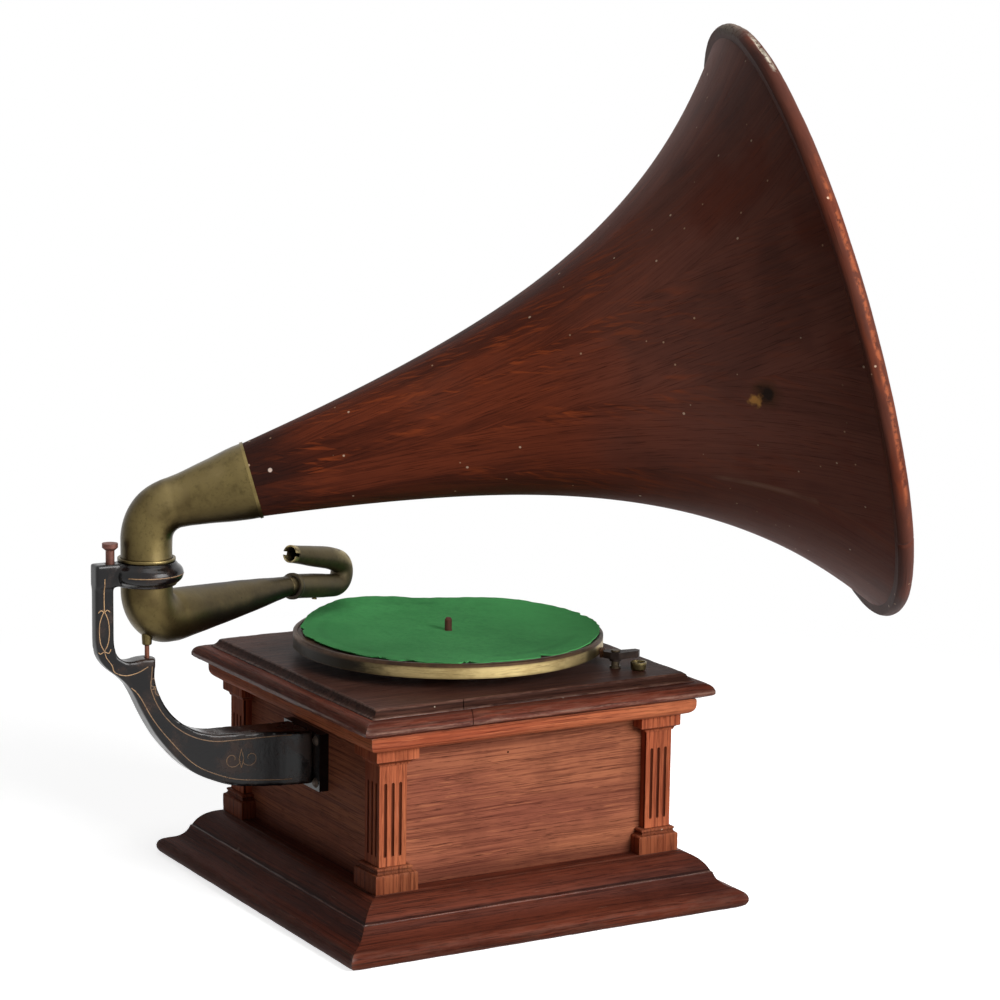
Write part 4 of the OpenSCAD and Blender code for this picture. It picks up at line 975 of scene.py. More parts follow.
def felt_cloth(name):
    """Trodden felt with loose fibres, with painted shade towards +Y under the horn and painted light
    towards -Y.
    """
    felt, felt_dark = tuple(settings().cloth.felt), tuple(settings().cloth.felt_dark)
    f = Finish(name)
    here = f.place()
    nap = f.cloud(here, 900.0, 4.0, 0.75)
    tufts = f.cloud(f.wander(here, 60.0, (0.01,) * 3), 170.0, 4.0, 0.6)
    worn = f.cloud(here, 15.0, 4.0, 0.6)
    reach = f.from_axis(here)
    # a ring that discs have pressed into the nap
    pressed = reach.step(0.118, 0.126) * reach.step(0.134, 0.128)
    y = f.parts(here)[1]
    colour = f.layers(
        felt,
        (worn.step(0.35, 0.7), felt_dark),
        (tufts.step(0.40, 0.75) * 0.32, scaled(felt_dark, 0.62)),
        (nap.step(0.5, 0.8) * 0.35, srgb(110, 206, 124)),
        (pressed * worn.step(0.35, 0.6) * 0.3, scaled(felt_dark, 0.5)),
        # painted shade towards +Y, under the horn, and painted light towards -Y, which offsets the
        # shadow of the bell
        (y.step(-0.04, 0.15) * 0.62, scaled(felt_dark, 0.55)),
        (y.step(-0.03, -0.13) * 0.7, scaled(felt, 1.6)),
    )
    height = nap * 0.6 + tufts * 0.6
    return f.finish(
        f.surface(colour, 0.96, height, 0.0009, Specular_IOR_Level=0.02, Sheen_Weight=0.04)
    )


def pinstripe_paint():
    """Old line paint, flaked and faded, and duller away from the post."""
    f = Finish("pinstripe_paint")
    here = f.place()
    flaked = f.cloud(here, 260.0, 4.0, 0.7)
    faded = f.cloud(here, 30.0, 3.0)
    post = f.parts(here)[1].step(0.318, 0.352)
    colour = f.layers(
        tuple(settings().metals.stripe),
        (flaked.step(0.48, 0.64) * 0.6, srgb(60, 42, 30)),
        (faded.step(0.5, 0.7) * 0.5, srgb(84, 58, 42)),
        ((1 - post) * 0.62, srgb(74, 52, 40)),
    )
    return f.finish(f.surface(colour, 0.5, flaked, 0.0001))


def dress(nodes, material):
    """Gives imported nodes, named in one string, a material and leaves their shapes."""
    for node in nodes.split():
        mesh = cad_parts[node].data
        mesh.materials.clear()
        mesh.materials.append(material)


# ---------------------------------------------------------------- operators


class GRAMOPHONE_OT_stage(Operator):
    """Sets up the floor, the lights and the camera"""

    bl_idname = "gramophone.stage"
    bl_label = "Stage"

    WHITE = (1, 1, 1, 1)
    FLOOR_RADIUS = 9

    def execute(self, context):
        self.make_world(context)
        self.make_floor()
        self.make_lamps()
        self.make_camera(context)
        return {"FINISHED"}

    def make_world(self, context):
        """Even room light, which the camera sees as white."""
        f = Finish("studio", "worlds")
        room, white = (
            f.node("ShaderNodeBackground", None, {"Color": self.WHITE, "Strength": strength})
            for strength in (settings().lights.room, 1.0)
        )
        context.scene.world = f.finish(f.blend(f.seen(), room, white), "World")

    def make_floor(self):
        """A pale floor that keeps the shadow, fades to white and sends little light back."""
        f = Finish("pale_floor")
        pale, grey = (0.86, 0.86, 0.86, 1), (0.28, 0.28, 0.28, 1)
        matt = f.node("ShaderNodeBsdfDiffuse", None, {"Color": pale, "Roughness": 0.5})
        bounce = f.node("ShaderNodeBsdfDiffuse", None, {"Color": grey})
        lift, white = (
            f.node("ShaderNodeEmission", None, {"Color": self.WHITE, "Strength": strength})
            for strength in (0.76, 1.0)
        )
        lifted = f.node("ShaderNodeAddShader", None, {0: f.out(matt), 1: f.out(lift)})
        far = f.from_axis(f.place()).step(0.45, 1.3)
        material = f.finish(f.blend(f.seen(), bounce, f.blend(far, lifted, white)))
        mesh = bpy.data.meshes.new("floor")
        rim = arc((0, 0), self.FLOOR_RADIUS, 0, 360, 64)[:-1]
        mesh.from_pydata([(x, y, -0.0004) for x, y in rim], [], [tuple(range(64))])
        mesh.materials.append(material)
        floor = link_object("floor", mesh)

    def make_lamps(self):
        """Three soft boxes that face the middle of the machine."""
        lights = settings().lights
        middle = Vector((-0.1, 0.0, 0.36))
        lamps = (
            ("key", (-2.62, -0.95, 1.42), lights.key_power, lights.key_size, 1.8),
            ("top", (-0.5, -0.2, 2.7), lights.top_power, 1.5, 1.5),
            ("back", (-1.0, 2.6, 1.0), lights.back_power, 0.7, 1.6),
        )
        for name, place, power, wide, high in lamps:
            light = bpy.data.lights.new(name, "AREA")
            light.shape = "RECTANGLE"
            light.size, light.size_y = wide, high
            light.energy = power
            lamp = link_object(name, light)
            lamp.location = place
            lamp.rotation_euler = (middle - Vector(place)).to_track_quat("-Z", "Y").to_euler()

    def make_camera(self, context):
        view = settings().camera
        data = bpy.data.cameras.new("camera")
        data.lens, data.sensor_width = view.lens, 36.0
        data.clip_end = 100.0
        sine, cosine = math.sin(view.heading), math.cos(view.heading)
        level = math.cos(view.dip)
        ahead = Vector((level * sine, level * cosine, -math.sin(view.dip)))
        right = Vector((cosine, -sine, 0))
        up = right.cross(ahead)
        rolled = math.cos(view.roll) * right + math.sin(view.roll) * up
        upright = math.cos(view.roll) * up - math.sin(view.roll) * right
        turn = Matrix((rolled, upright, -ahead)).transposed().to_4x4()
        camera = link_object("camera", data)
        camera.matrix_world = Matrix.Translation(view.place) @ turn
        context.scene.camera = camera
        context.scene.view_settings.view_transform = "Standard"


class GRAMOPHONE_OT_mouldings(Operator):
    """Builds the mouldings of the plinth, the cornice and the lid, and the motor board"""

    bl_idname = "gramophone.mouldings"
    bl_label = "Mouldings"

    def execute(self, context):
        stain = tones("stain")
        pale, hole = srgb(214, 202, 186), srgb(18, 10, 8)
        lid_top, board_top = LID_TOP * MM, BOARD_TOP * MM
        lid_spots = (
            ((-0.178, -0.027, lid_top), 0.0016, pale),
            ((-0.193, -0.104, lid_top - 0.002), 0.0016, pale),
        )
        plinth_spots = (
            ((-0.218, 0.2016, 0.0361), 0.0016, hole),
            ((-0.2285, -0.003, 0.003), 0.0030, pale),
            ((-0.2285, -0.132, 0.004), 0.0034, pale),
            ((0.083, 0.190, 0.034), 0.0045, srgb(120, 92, 80)),
        )
        board_spots = (((-0.108, -0.168, board_top), 0.0030, hole),)
        board = (srgb(36, 22, 18), srgb(78, 48, 39), srgb(108, 72, 60))
        lid_wood = stained_wood("lid_wood", "mesh", *stain, gloss=0.34, spots=lid_spots)
        plinth_wood = stained_wood(
            "plinth_wood", "mesh", *stain, gloss=0.36, low=0.3, spots=plinth_spots
        )
        cornice_wood = stained_wood(
            "cornice_wood", "mesh", *(scaled(shade, 1.2) for shade in tones("post"))
        )
        board_wood = stained_wood("board_wood", "mesh", *board, gloss=0.36, spots=board_spots)
        shelf, edge = PANEL + 18.3, 9.6
        plinth = (
            [(PANEL - 13, 0)]
            + arc((FOOT - 9, 8), 9, -62, 72)
            + arc((FOOT - 8, 37), 19, 256, 189)
            + arc((shelf - 6.3, PLINTH_TOP - 30.5), 30.3, 24, 78)
            + [(shelf - 1.5, PLINTH_TOP), (PANEL - 13, PLINTH_TOP)]
        )
        cornice = (
            [(RAIL_INNER, WALL_TOP)]
            + arc((CORNICE - edge, WALL_TOP + edge), edge, -90, 0)
            + [(CORNICE, CORNICE_TOP), (RAIL_INNER, CORNICE_TOP)]
        )
        lid = (
            [(RAIL_INNER, CORNICE_TOP), (CORNICE, CORNICE_TOP), (LID - 1.8, CORNICE_TOP + 4.4)]
            + arc((LID - edge, LID_TOP - edge), edge, -12, 90, 12)
            + [(RAIL_INNER, LID_TOP)]
        )
        self.frame_of("plinth", plinth, plinth_wood, 0.7, 0.45)
        self.frame_of("cornice", cornice, cornice_wood, 0.5, 0.3)
        self.frame_of("lid", lid, lid_wood, 0.7, 0.5, LID_TOP - edge)
        self.make_board(board_wood)
        return {"FINISHED"}

    def mitre(self, cut):
        """How near a cut is to a mitred end, from 0 along the rail to 1."""
        return max(0.0, (abs(cut) - 0.985) / 0.015)

    def worn_back(self, seed, convex, cut, least, mitre_wear):
        """How far an edge has worn back, in millimetres."""
        worn = settings().shapes.wear_depth / MM
        rough = least + noise.noise(seed * 2.2) + 0.7 * noise.noise(seed * 9)
        return worn * convex * rough + mitre_wear * convex * self.mitre(cut) ** 2

    def frame_of(self, name, profile, material, edge, bare, lip=None):
        """Four mitred mouldings, worn along their edges and at the mitres.

        lip is the height of the lid's rubbed edge, a pale band that is both wear and a painted
        highlight, and the lid is split on the left.
        """
        outline = evenly(softened(profile, edge, 5), 1.6)
        marks = outline_marks(outline)
        points, faces, grain, wear, grime = [], [], [], [], []
        for side, turn in enumerate(QUARTERS):
            part = []
            cuts = [-1 + 2 * i / 64 for i in range(65)]
            crack = CRACK_Y / -LID if lip and side == 2 else None
            if crack is not None:
                # the crack's middle and sides, and the sound wood beside them
                cuts += [crack + d for d in (-0.006, -0.0022, 0.0, 0.0022, 0.006)]
            for cut in sorted(cuts):
                in_crack = crack is not None and abs(cut - crack) < 0.0021
                for (d, z), (normal, convex, hollow) in zip(outline, marks):
                    y = cut * (d - 0.05)
                    split = 1.0 if in_crack and z > CORNICE_TOP + 1 else 0.0
                    seed = Vector((y * 0.02 + 7 * side, z * 0.03, d * 0.02 + len(name)))
                    depth = self.worn_back(seed, convex, cut, 0.5, 0.7) + 1.4 * split
                    depth += 0.12 * noise.noise(seed * 3 + Vector((9, 1, 4)))
                    at = Vector((d, y, z)) - Vector((normal.x, 0, normal.y)) * depth
                    part.append((turn @ at) * MM)
                    grain.append(Vector((y + 700 * side, d, z + 90 * side)) * MM)
                    rubbed = 0
                    # the lid's rubbed edge: a pale band along its upper shoulder, partly wear and
                    # partly a painted highlight
                    if lip and d > LID - 4:
                        rubbed = math.exp(-(((z - lip - 0.6) / 1.1) ** 2))
                    most = max(bare * convex, rubbed, self.mitre(cut) * convex)
                    wear.append(most * (1 - split))
                    grime.append(max(hollow, split))
            add_part(points, faces, part, closed_rings(len(cuts), len(outline)))
        make_piece(
            name, points, faces, material, "cabinet", [f"{name}_mouldings"],
            52, {"grain": grain, "wear": wear, "grime": grime},
        )

    def make_board(self, material):
        """The motor board: one plank with a moulded edge, split on the left."""
        flat = PANEL + 17.6
        profile = (
            [(flat - 12, LID_TOP), (flat + 8, LID_TOP), (flat + 7.2, LID_TOP + 1.4)]
            + arc((flat + 9.4, BOARD_TOP + 0.9), 8.4, 248, 192, 7)
            + [(flat, BOARD_TOP), (flat - 12, BOARD_TOP)]
        )
        outline = evenly(softened(profile, 0.6, 5), 1.2)
        marks = outline_marks(outline)
        crack = CRACK_Y / -(flat + 4)
        cuts = [-1 + 2 * i / 60 for i in range(60)]
        cuts = sorted(cuts + [crack + d for d in (-0.008, -0.003, 0.0, 0.003, 0.008)])
        points, grain, wear, grime = [], [], [], []
        # the outline without its inner end, from the lowest point upwards
        keep = [i for i, p in enumerate(outline) if p.x > flat - 11]
        low = min(keep, key=lambda i: (outline[i].y, outline[i].x))
        order = keep[keep.index(low):] + keep[: keep.index(low)]
        if outline[order[1]].y > outline[order[-1]].y:
            order = [order[0]] + order[:0:-1]
        for index in order:
            (d, z), (normal, convex, hollow) = outline[index], marks[index]
            for side, turn in enumerate(QUARTERS):
                for cut in cuts:
                    y = cut * d
                    in_crack = side == 2 and abs(cut - crack) < 0.0029 and d > flat - 1
                    split = 1.0 if in_crack else 0.0
                    seed = Vector((y * 0.02 + 7 * side, z * 0.03, 3.3))
                    depth = self.worn_back(seed, convex, cut, 0.4, 0.6) + 1.2 * split
                    at = turn @ (Vector((d, y, z)) - Vector((normal.x, 0, normal.y)) * depth)
                    points.append(at * MM)
                    grain.append(Vector((at.y + 400, at.x, at.z)) * MM)
                    wear.append(0.4 * convex * (1 - split))
                    grime.append(max(hollow, split))
        make_piece(
            "motor_board_top", points, closed_rings(len(order), 4 * len(cuts)), material,
            "cabinet", ["motor_board"], 52,
            {"grain": grain, "wear": wear, "grime": grime},
        )


class GRAMOPHONE_OT_case(Operator):
    """Finishes the panels, the posts and the boards of the cabinet"""

    bl_idname = "gramophone.case"
    bl_label = "Case"

    def execute(self, context):
        oak, post = tones("oak"), tones("post")
        plain = (srgb(120, 84, 52), srgb(160, 118, 78), srgb(186, 146, 102))
        nail = (((-0.153, 0.0183, 0.1701), 0.0014, srgb(24, 12, 9)),)
        across = stained_wood("panel_oak_across", "x", *oak, line=560, low=0.7)
        along = stained_wood("panel_oak_along", "y", *oak, line=560, low=0.7, spots=nail)
        dress("front_panel back_panel", across)
        dress("left_panel right_panel", along)
        dress("corner_posts", stained_wood("post_oak", "z", *post, flutes=True, low=0.2))
        dress("bottom_board", stained_wood("plain_board", "y", *plain, gloss=0.6))
        foot = stained_wood("foot_oak", "z", *(scaled(shade, 0.6) for shade in post), low=0.2)
        self.blocks("post_foot", "post_bases", foot, PLINTH_TOP, (
            (6.3, 0), (6.3, 16.6), (5.6, 17.8), (4.0, 18.4), (3.1, 19.6), (2.7, 21.2),
            (3.3, 21.5), (3.7, 22.6), (3.3, 23.7), (2.2, 24.3), (-0.5, 24.6),
        ))
        self.blocks("post_head", "post_capitals", stained_wood("block_oak", "z", *post), WALL_TOP, (
            (-0.5, -16.4), (1.1, -16.2), (1.5, -15.0), (2.1, -13.6), (3.4, -12.4),
            (5.2, -11.8), (6.3, -11.0), (6.3, 0),
        ))
        return {"FINISHED"}

    def blocks(self, name, node, material, base, profile):
        """A moulded block round each corner post.

        The profile has points of (reach beyond the post, height over the base).
        """
        rows = evenly([Vector((reach, base + z)) for reach, z in profile], 3.0, closed=False)
        inner = POST - 29.0
        points, faces, wear, grime = [], [], [], []
        for side, turn in enumerate(QUARTERS):
            part = []
            for i, (reach, z) in enumerate(rows):
                out, back = POST + reach, inner - max(reach, 0) * 1.54
                outline = (
                    (PANEL, back), (out, back), (out, out), (back, out), (back, PANEL),
                    (PANEL, PANEL),
                )
                bulge = reach - (rows[max(i - 1, 0)].x + rows[min(i + 1, len(rows) - 1)].x) / 2
                for k, (x, y) in enumerate(outline):
                    chip = 0.0
                    if k == 2:
                        rough = noise.noise(Vector((z * 0.2 + side, k * 3.1, 1.7)))
                        chip = 0.35 * max(0.0, rough)
                    part.append((turn @ Vector((x - chip, y - chip, z))) * MM)
                    wear.append(0.3 * clamped(bulge))
                    grime.append(max(0.0, min(0.8, -1.5 * bulge)))
            add_part(points, faces, part, closed_rings(len(rows), len(outline)))
        make_piece(
            name, points, faces, material, "cabinet", [node], 30,
            {"wear": wear, "grime": grime},
        )


class GRAMOPHONE_OT_turntable(Operator):
    """Builds the felt and finishes the turntable and its spindle"""

    bl_idname = "gramophone.turntable"
    bl_label = "Turntable"

    # the felt's edge, round the turntable: angle, radius and lift
    EDGE = (
        (-8, 150, 4.6), (7, 149.5, 8.0), (18, 149.5, 9.0), (32, 149, 6.5), (55, 147.6, 0.8),
        (84, 142.5, 0.2), (104, 143.5, 0.3), (118, 147, 0.2), (144, 150, 0.3), (158, 151.5, 0.2),
        (171, 148, 0.3), (196, 151.5, 0.3), (214, 151, 1.2), (236, 151, 2.6), (255, 150.5, 3.8),
        (285, 150, 3.6), (300, 150, 4.2), (316, 150, 3.6), (328, 149.5, 2.2), (342, 150, 1.8),
        (352, 150, 4.6), (367, 149.5, 8.0), (378, 149.5, 9.0),
    )
    # its tears: angle, half width and depth
    TEARS = (
        (124, 3.6, 5.5), (136, 3.8, 5.0), (158, 3.4, 7.5), (190.2, 3.0, 11.0), (265, 2.0, 3.0),
        (63, 2.5, 3.0),
    )
    CURL = 0.62  # the share of its radius from which the felt lifts
    THICK = 1.2  # of the edge

    def execute(self, context):
        rust = tuple(settings().metals.rust)
        dress("rim_band", plated_band())
        dress("turntable_platter", aged_metal(
            "platter_bronze", srgb(92, 66, 44), srgb(48, 34, 26), 0.42, metallic=0.7))
        dress("spindle", aged_metal("rusty_steel", rust, srgb(70, 40, 32), 0.6, metallic=0.4))
        dress("worm_wheel", plain_metal("wheel_brass", srgb(190, 160, 96), 0.35))
        self.make_felt()
        return {"FINISHED"}

    def curl(self, share):
        return max(0.0, (share - self.CURL) / (1 - self.CURL))

    def make_felt(self):
        """A loose felt with a torn edge, which curls up along its far side."""
        ragged = settings().cloth.ragged / MM
        around, rings = 480, 64
        radii = [(angle, radius) for angle, radius, _ in self.EDGE]
        lifts = [(angle, lift) for angle, _, lift in self.EDGE]
        rim = []
        for k in range(around):
            degrees = 360 * k / around
            a = math.radians(degrees)
            way = Vector((math.cos(a), math.sin(a), 0))
            wave = noise.noise(way * 5.0 + Vector((3.1, 0, 0))) + 0.7 * noise.noise(way * 17.0)
            reach = between(radii, degrees) + ragged * wave
            for centre, half, depth in self.TEARS:
                torn = min(1.0, 1.6 * peak(degrees, centre, half))
                reach -= depth * torn * (0.8 + 0.5 * noise.noise(way * 60.0))
            rim.append((way, reach, between(lifts, degrees)))
        top = [Vector((0, 0, FELT_TOP))]
        for i in range(1, rings + 1):
            share = 1 - (1 - i / rings) ** 1.25
            curl = self.curl(share)
            for way, reach, lift in rim:
                r = reach * share
                z = FELT_TOP + lift * curl ** 1.5
                z += share * 0.30 * (1 + noise.noise(way * r * 0.03))
                z += 0.22 * noise.noise(way * r * 0.10)
                z += 0.5 * curl * (0.6 + noise.noise(way * 11.0 + Vector((8, 0, 0))))
                top.append(way * r + Vector((0, 0, z)))
        edge = top[-around:]
        under = [Vector((p.x * 0.997, p.y * 0.997, p.z - self.THICK)) for p in edge]
        for share in (0.8, self.CURL):
            for p in edge:
                lift = (p.z - FELT_TOP - 0.4) * self.curl(share) ** 1.5
                under.append(Vector((p.x * share, p.y * share, FELT_BOTTOM + 0.02 + lift)))
        points = [p * MM for p in top + under] + [Vector((0, 0, FELT_BOTTOM)) * MM]
        faces = [(0, 1 + k, 1 + (k + 1) % around) for k in range(around)]
        faces += [(1 + a, 1 + d, 1 + c, 1 + b) for a, b, c, d in join_rings(rings + 3, around)]
        last, centre = 1 + (rings + 2) * around, len(points) - 1
        faces += [(last + k, centre, last + (k + 1) % around) for k in range(around)]
        felt = make_piece(
            "felt", points, faces, felt_cloth("green_felt"), "turntable", ["turntable_felt"],
            60,
        )


class GRAMOPHONE_OT_motor(Operator):
    """Finishes the spring motor and the winding gear"""

    bl_idname = "gramophone.motor"
    bl_label = "Motor"

    def execute(self, context):
        dark, _, _ = tones("stain")
        tarnish = tuple(settings().metals.brass_dark)
        dress(
            "motor_pillars barrel_arbor ratchet_wheel ratchet_pawl pawl_stud governor_shaft"
            " friction_lever lever_stud winding_shaft",
            plain_metal("motor_steel", srgb(150, 148, 144), 0.4),
        )
        dress(
            "motor_plates spring_barrel barrel_cover intermediate_gear governor_weights"
            " governor_disc governor_bearings",
            plain_metal("motor_brass", srgb(186, 156, 92), 0.35),
        )
        dress(
            "motor_bolts mainspring pawl_spring",
            plain_metal("blued_steel", srgb(70, 76, 92), 0.35),
        )
        dress(
            "motor_spacers winding_bearing",
            plain_metal("motor_iron", srgb(74, 72, 70), 0.6, 0.6),
        )
        dress("friction_pad", plain_metal("fibre", srgb(96, 62, 44), 0.8, 0.0, 700.0))
        dress(
            "speed_screw escutcheon grip_washer",
            aged_metal("worn_brass", srgb(176, 150, 96), tarnish, 0.34),
        )
        dress("crank_rod", aged_metal(
            "crank_steel", srgb(122, 116, 108), srgb(66, 50, 40), 0.38, metallic=0.9))
        dress("crank_grip", stained_wood(
            "grip_wood", "x", dark, srgb(84, 42, 30), srgb(126, 70, 46), gloss=0.26, line=500))
        return {"FINISHED"}


class GRAMOPHONE_OT_brake(Operator):
    """Finishes the brake and the needle cup"""

    bl_idname = "gramophone.brake"
    bl_label = "Brake and needle cup"

    def execute(self, context):
        dress("brake_stud", aged_metal(
            "stud_steel", srgb(130, 116, 92), srgb(64, 52, 40), 0.4, metallic=0.9))
        dress("brake_lever", aged_metal(
            "lever_bronze", srgb(66, 46, 36), srgb(34, 25, 20), 0.45, metallic=0.6))
        dress("brake_pad", plain_metal("pad_leather", srgb(94, 62, 42), 0.8, 0.0, 900.0))
        dress("needle_cup", aged_metal("cup_brass", srgb(140, 124, 84), srgb(44, 38, 26), 0.3))
        return {"FINISHED"}


class GRAMOPHONE_OT_bracket(Operator):
    """Builds the cast bracket with its painted lines"""

    bl_idname = "gramophone.bracket"
    bl_label = "Bracket"

    LIFT, SINK = 0.00012, 0.0002  # how far paint stands out of the casting, and reaches into it
    POST_Y = 372.5  # the middle of the bracket's post

    def execute(self, context):
        casting = self.soft_casting()
        enamel = black_enamel("black_enamel", 0.55)
        add_mesh(
            "bracket_casting", casting, enamel, "cabinet", ["back_bracket"], 60
        )
        dress("bracket_plate", black_enamel("plate_enamel", 0.3))
        dress("bracket_screws", aged_metal(
            "screw_iron", srgb(78, 62, 50), srgb(40, 32, 28), 0.5, metallic=0.7))
        dress("pivot_pin", aged_metal(
            "pin_rust", srgb(130, 78, 58), srgb(76, 46, 36), 0.55, metallic=0.5))
        dress("thumbscrew", aged_metal(
            "thumb_rust", srgb(120, 76, 64), srgb(76, 48, 40), 0.5, metallic=0.5))
        self.paint_lines(casting)
        return {"FINISHED"}

    def soft_casting(self):
        """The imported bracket's shape with the soft edges of a casting."""
        copy = link_object("casting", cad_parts["back_bracket"].data.copy())
        remesh = copy.modifiers.new("remesh", "REMESH")
        remesh.mode = "VOXEL"
        remesh.voxel_size = 0.0013
        smooth = copy.modifiers.new("smooth", "SMOOTH")
        smooth.factor = 0.5
        smooth.iterations = settings().shapes.casting_round
        mesh = evaluated_mesh(copy)
        mesh.name = "bracket_casting"
        bpy.data.objects.remove(copy)
        return mesh

    def paint_lines(self, casting):
        """Lines on both sides of the casting, and the stripe round its ring."""
        paint = pinstripe_paint()
        search = BVHTree.FromPolygons(
            [v.co for v in casting.vertices], [p.vertices for p in casting.polygons]
        )
        mid = self.POST_Y
        lines = [
            ([(mid, 344), (mid, 328), (mid, 313)], 0.9),
            (self.bow(311.6, 6, 313.8, 3, 312), 0.8),
        ]
        # the loop below the bow, and the small bow under it
        for way in (-1, 1):
            sides = ((3.9, 304), (5, 293), (3.8, 282))
            loop = [(mid + way * reach, z) for reach, z in sides]
            lines.append((curve([(mid, 313), *loop, (mid, 274.5)], 8), 0.8))
        lines.append((self.bow(276, 6.5, 272.4, 4.5, 274, 6), 0.8))
        lines.append((curve([(mid, 274.5), (370.5, 268), (366, 262), (364.5, 259)], 5), 0.7))
        # the line inside the elbow of the arm, the scroll between, and the line outside it
        inner = arc((252, 254.5), 78.0, -14, -90, 30) + [(214, 176.5), (184, 176.3)]
        lines.append(([(326, 256.5)] + inner, 0.9))
        scroll = [(364.5, 259), (362, 253), (352, 249.5), (340, 251.5), (330, 256.5)]
        lines.append((curve(scroll, 6), 0.8))
        outer = [
            (375.5, 259), (374, 253), (366.5, 247.5), (343, 234), (326.2, 206), (310.6, 185),
            (286, 158.5), (262.5, 145), (236.5, 136.8), (198, 132.8), (184, 132.6),
        ]
        lines.append((curve(outer, 6), 0.9))
        lines += self.scrolls((236, 156), 15.0, 0.0) + self.scrolls((322, 236), 9.0, 62.0)
        for i, (line, width) in enumerate(lines):
            for number, side in ((2 * i + 1, -1), (2 * i + 2, 1)):
                self.ribbon(f"pinstripe_{number:02d}", line, width, side, search, paint)
        self.ring_stripe(paint, search)

    def bow(self, end, end_reach, crest, crest_reach, dip, steps=4):
        """A small double bow across the post, from the heights of its ends, crests and dip."""
        points = [(-end_reach, end), (-crest_reach, crest), (0, dip), (crest_reach, crest),
                  (end_reach, end)]
        return curve([(self.POST_Y + reach, z) for reach, z in points], steps)

    def scrolls(self, centre, size, turn):
        """A pair of plain curls with a bud between them."""
        lines = []
        for mirror in (-1, 1):
            points = []
            for k in range(15):
                angle = math.radians(200 - 26 * k)
                radius = size * (0.16 + 0.030 * k)
                across = 0.62 * size + radius * math.cos(angle)
                points.append((mirror * across, 0.1 * size + radius * math.sin(angle)))
            lines.append(points)
        bud = ((0, -0.5), (0.16, 0.1), (0, 0.75), (-0.16, 0.1), (0, -0.5))
        lines.append([(x * size, y * size) for x, y in bud])
        c, s = math.cos(math.radians(turn)), math.sin(math.radians(turn))
        return [
            ([(centre[0] + x * c - y * s, centre[1] + x * s + y * c) for x, y in line], 0.7)
            for line in lines
        ]

    def add_row(self, points, origins, way, search, least=0.0):
        """Adds a row of a painted line, over and under the skin that its rays meet.

        The row is left out where a ray misses, or where the skin turns too far from the rays.
        """
        row = []
        for origin in origins:
            hit, normal, _, _ = search.ray_cast(origin, way)
            if hit is None or abs(normal.dot(way)) < least:
                return
            row.append((hit, normal))
        points += [hit + normal * self.LIFT for hit, normal in row]
        points += [hit - normal * self.SINK for hit, normal in reversed(row)]

    def ribbon(self, name, line, width, side, search, paint):
        """A thin painted line laid on one side of the casting, from points in Y and Z."""
        points = []
        line = evenly([Vector(p[:2]) for p in line], 1.2, closed=False)
        for i, here in enumerate(line):
            way = line[min(i + 1, len(line) - 1)] - line[max(i - 1, 0)]
            across = Vector((-way.y, way.x)).normalized() * width / 2
            origins = [
                Vector((side * 0.1, spot.x * MM, spot.y * MM))
                for spot in (here - across, here, here + across)
            ]
            self.add_row(points, origins, Vector((-side, 0, 0)), search, 0.35)
        rings = len(points) // 6
        if rings < 2:
            return
        faces = join_rings(rings, 6)
        if side < 0:
            faces = [face[::-1] for face in faces]
        make_piece(name, points, faces, paint, "cabinet", crease=180)

    def ring_stripe(self, paint, search):
        """The painted line round the middle of the ring, broken where the post joins it."""
        points = []
        for k in range(181):
            angle = math.radians(-78 + 336 * k / 180)
            way = Vector((math.cos(angle), math.sin(angle), 0))
            if way.y > 0.80:
                continue
            origins = [
                Vector((0, RING_Y, RING_Z + lift)) * MM + way * 0.06 for lift in (-0.5, 0.0, 0.5)
            ]
            self.add_row(points, origins, -way, search)
        faces = join_rings(len(points) // 6, 6)
        make_piece("ring_stripe", points, faces, paint, "cabinet", crease=180)


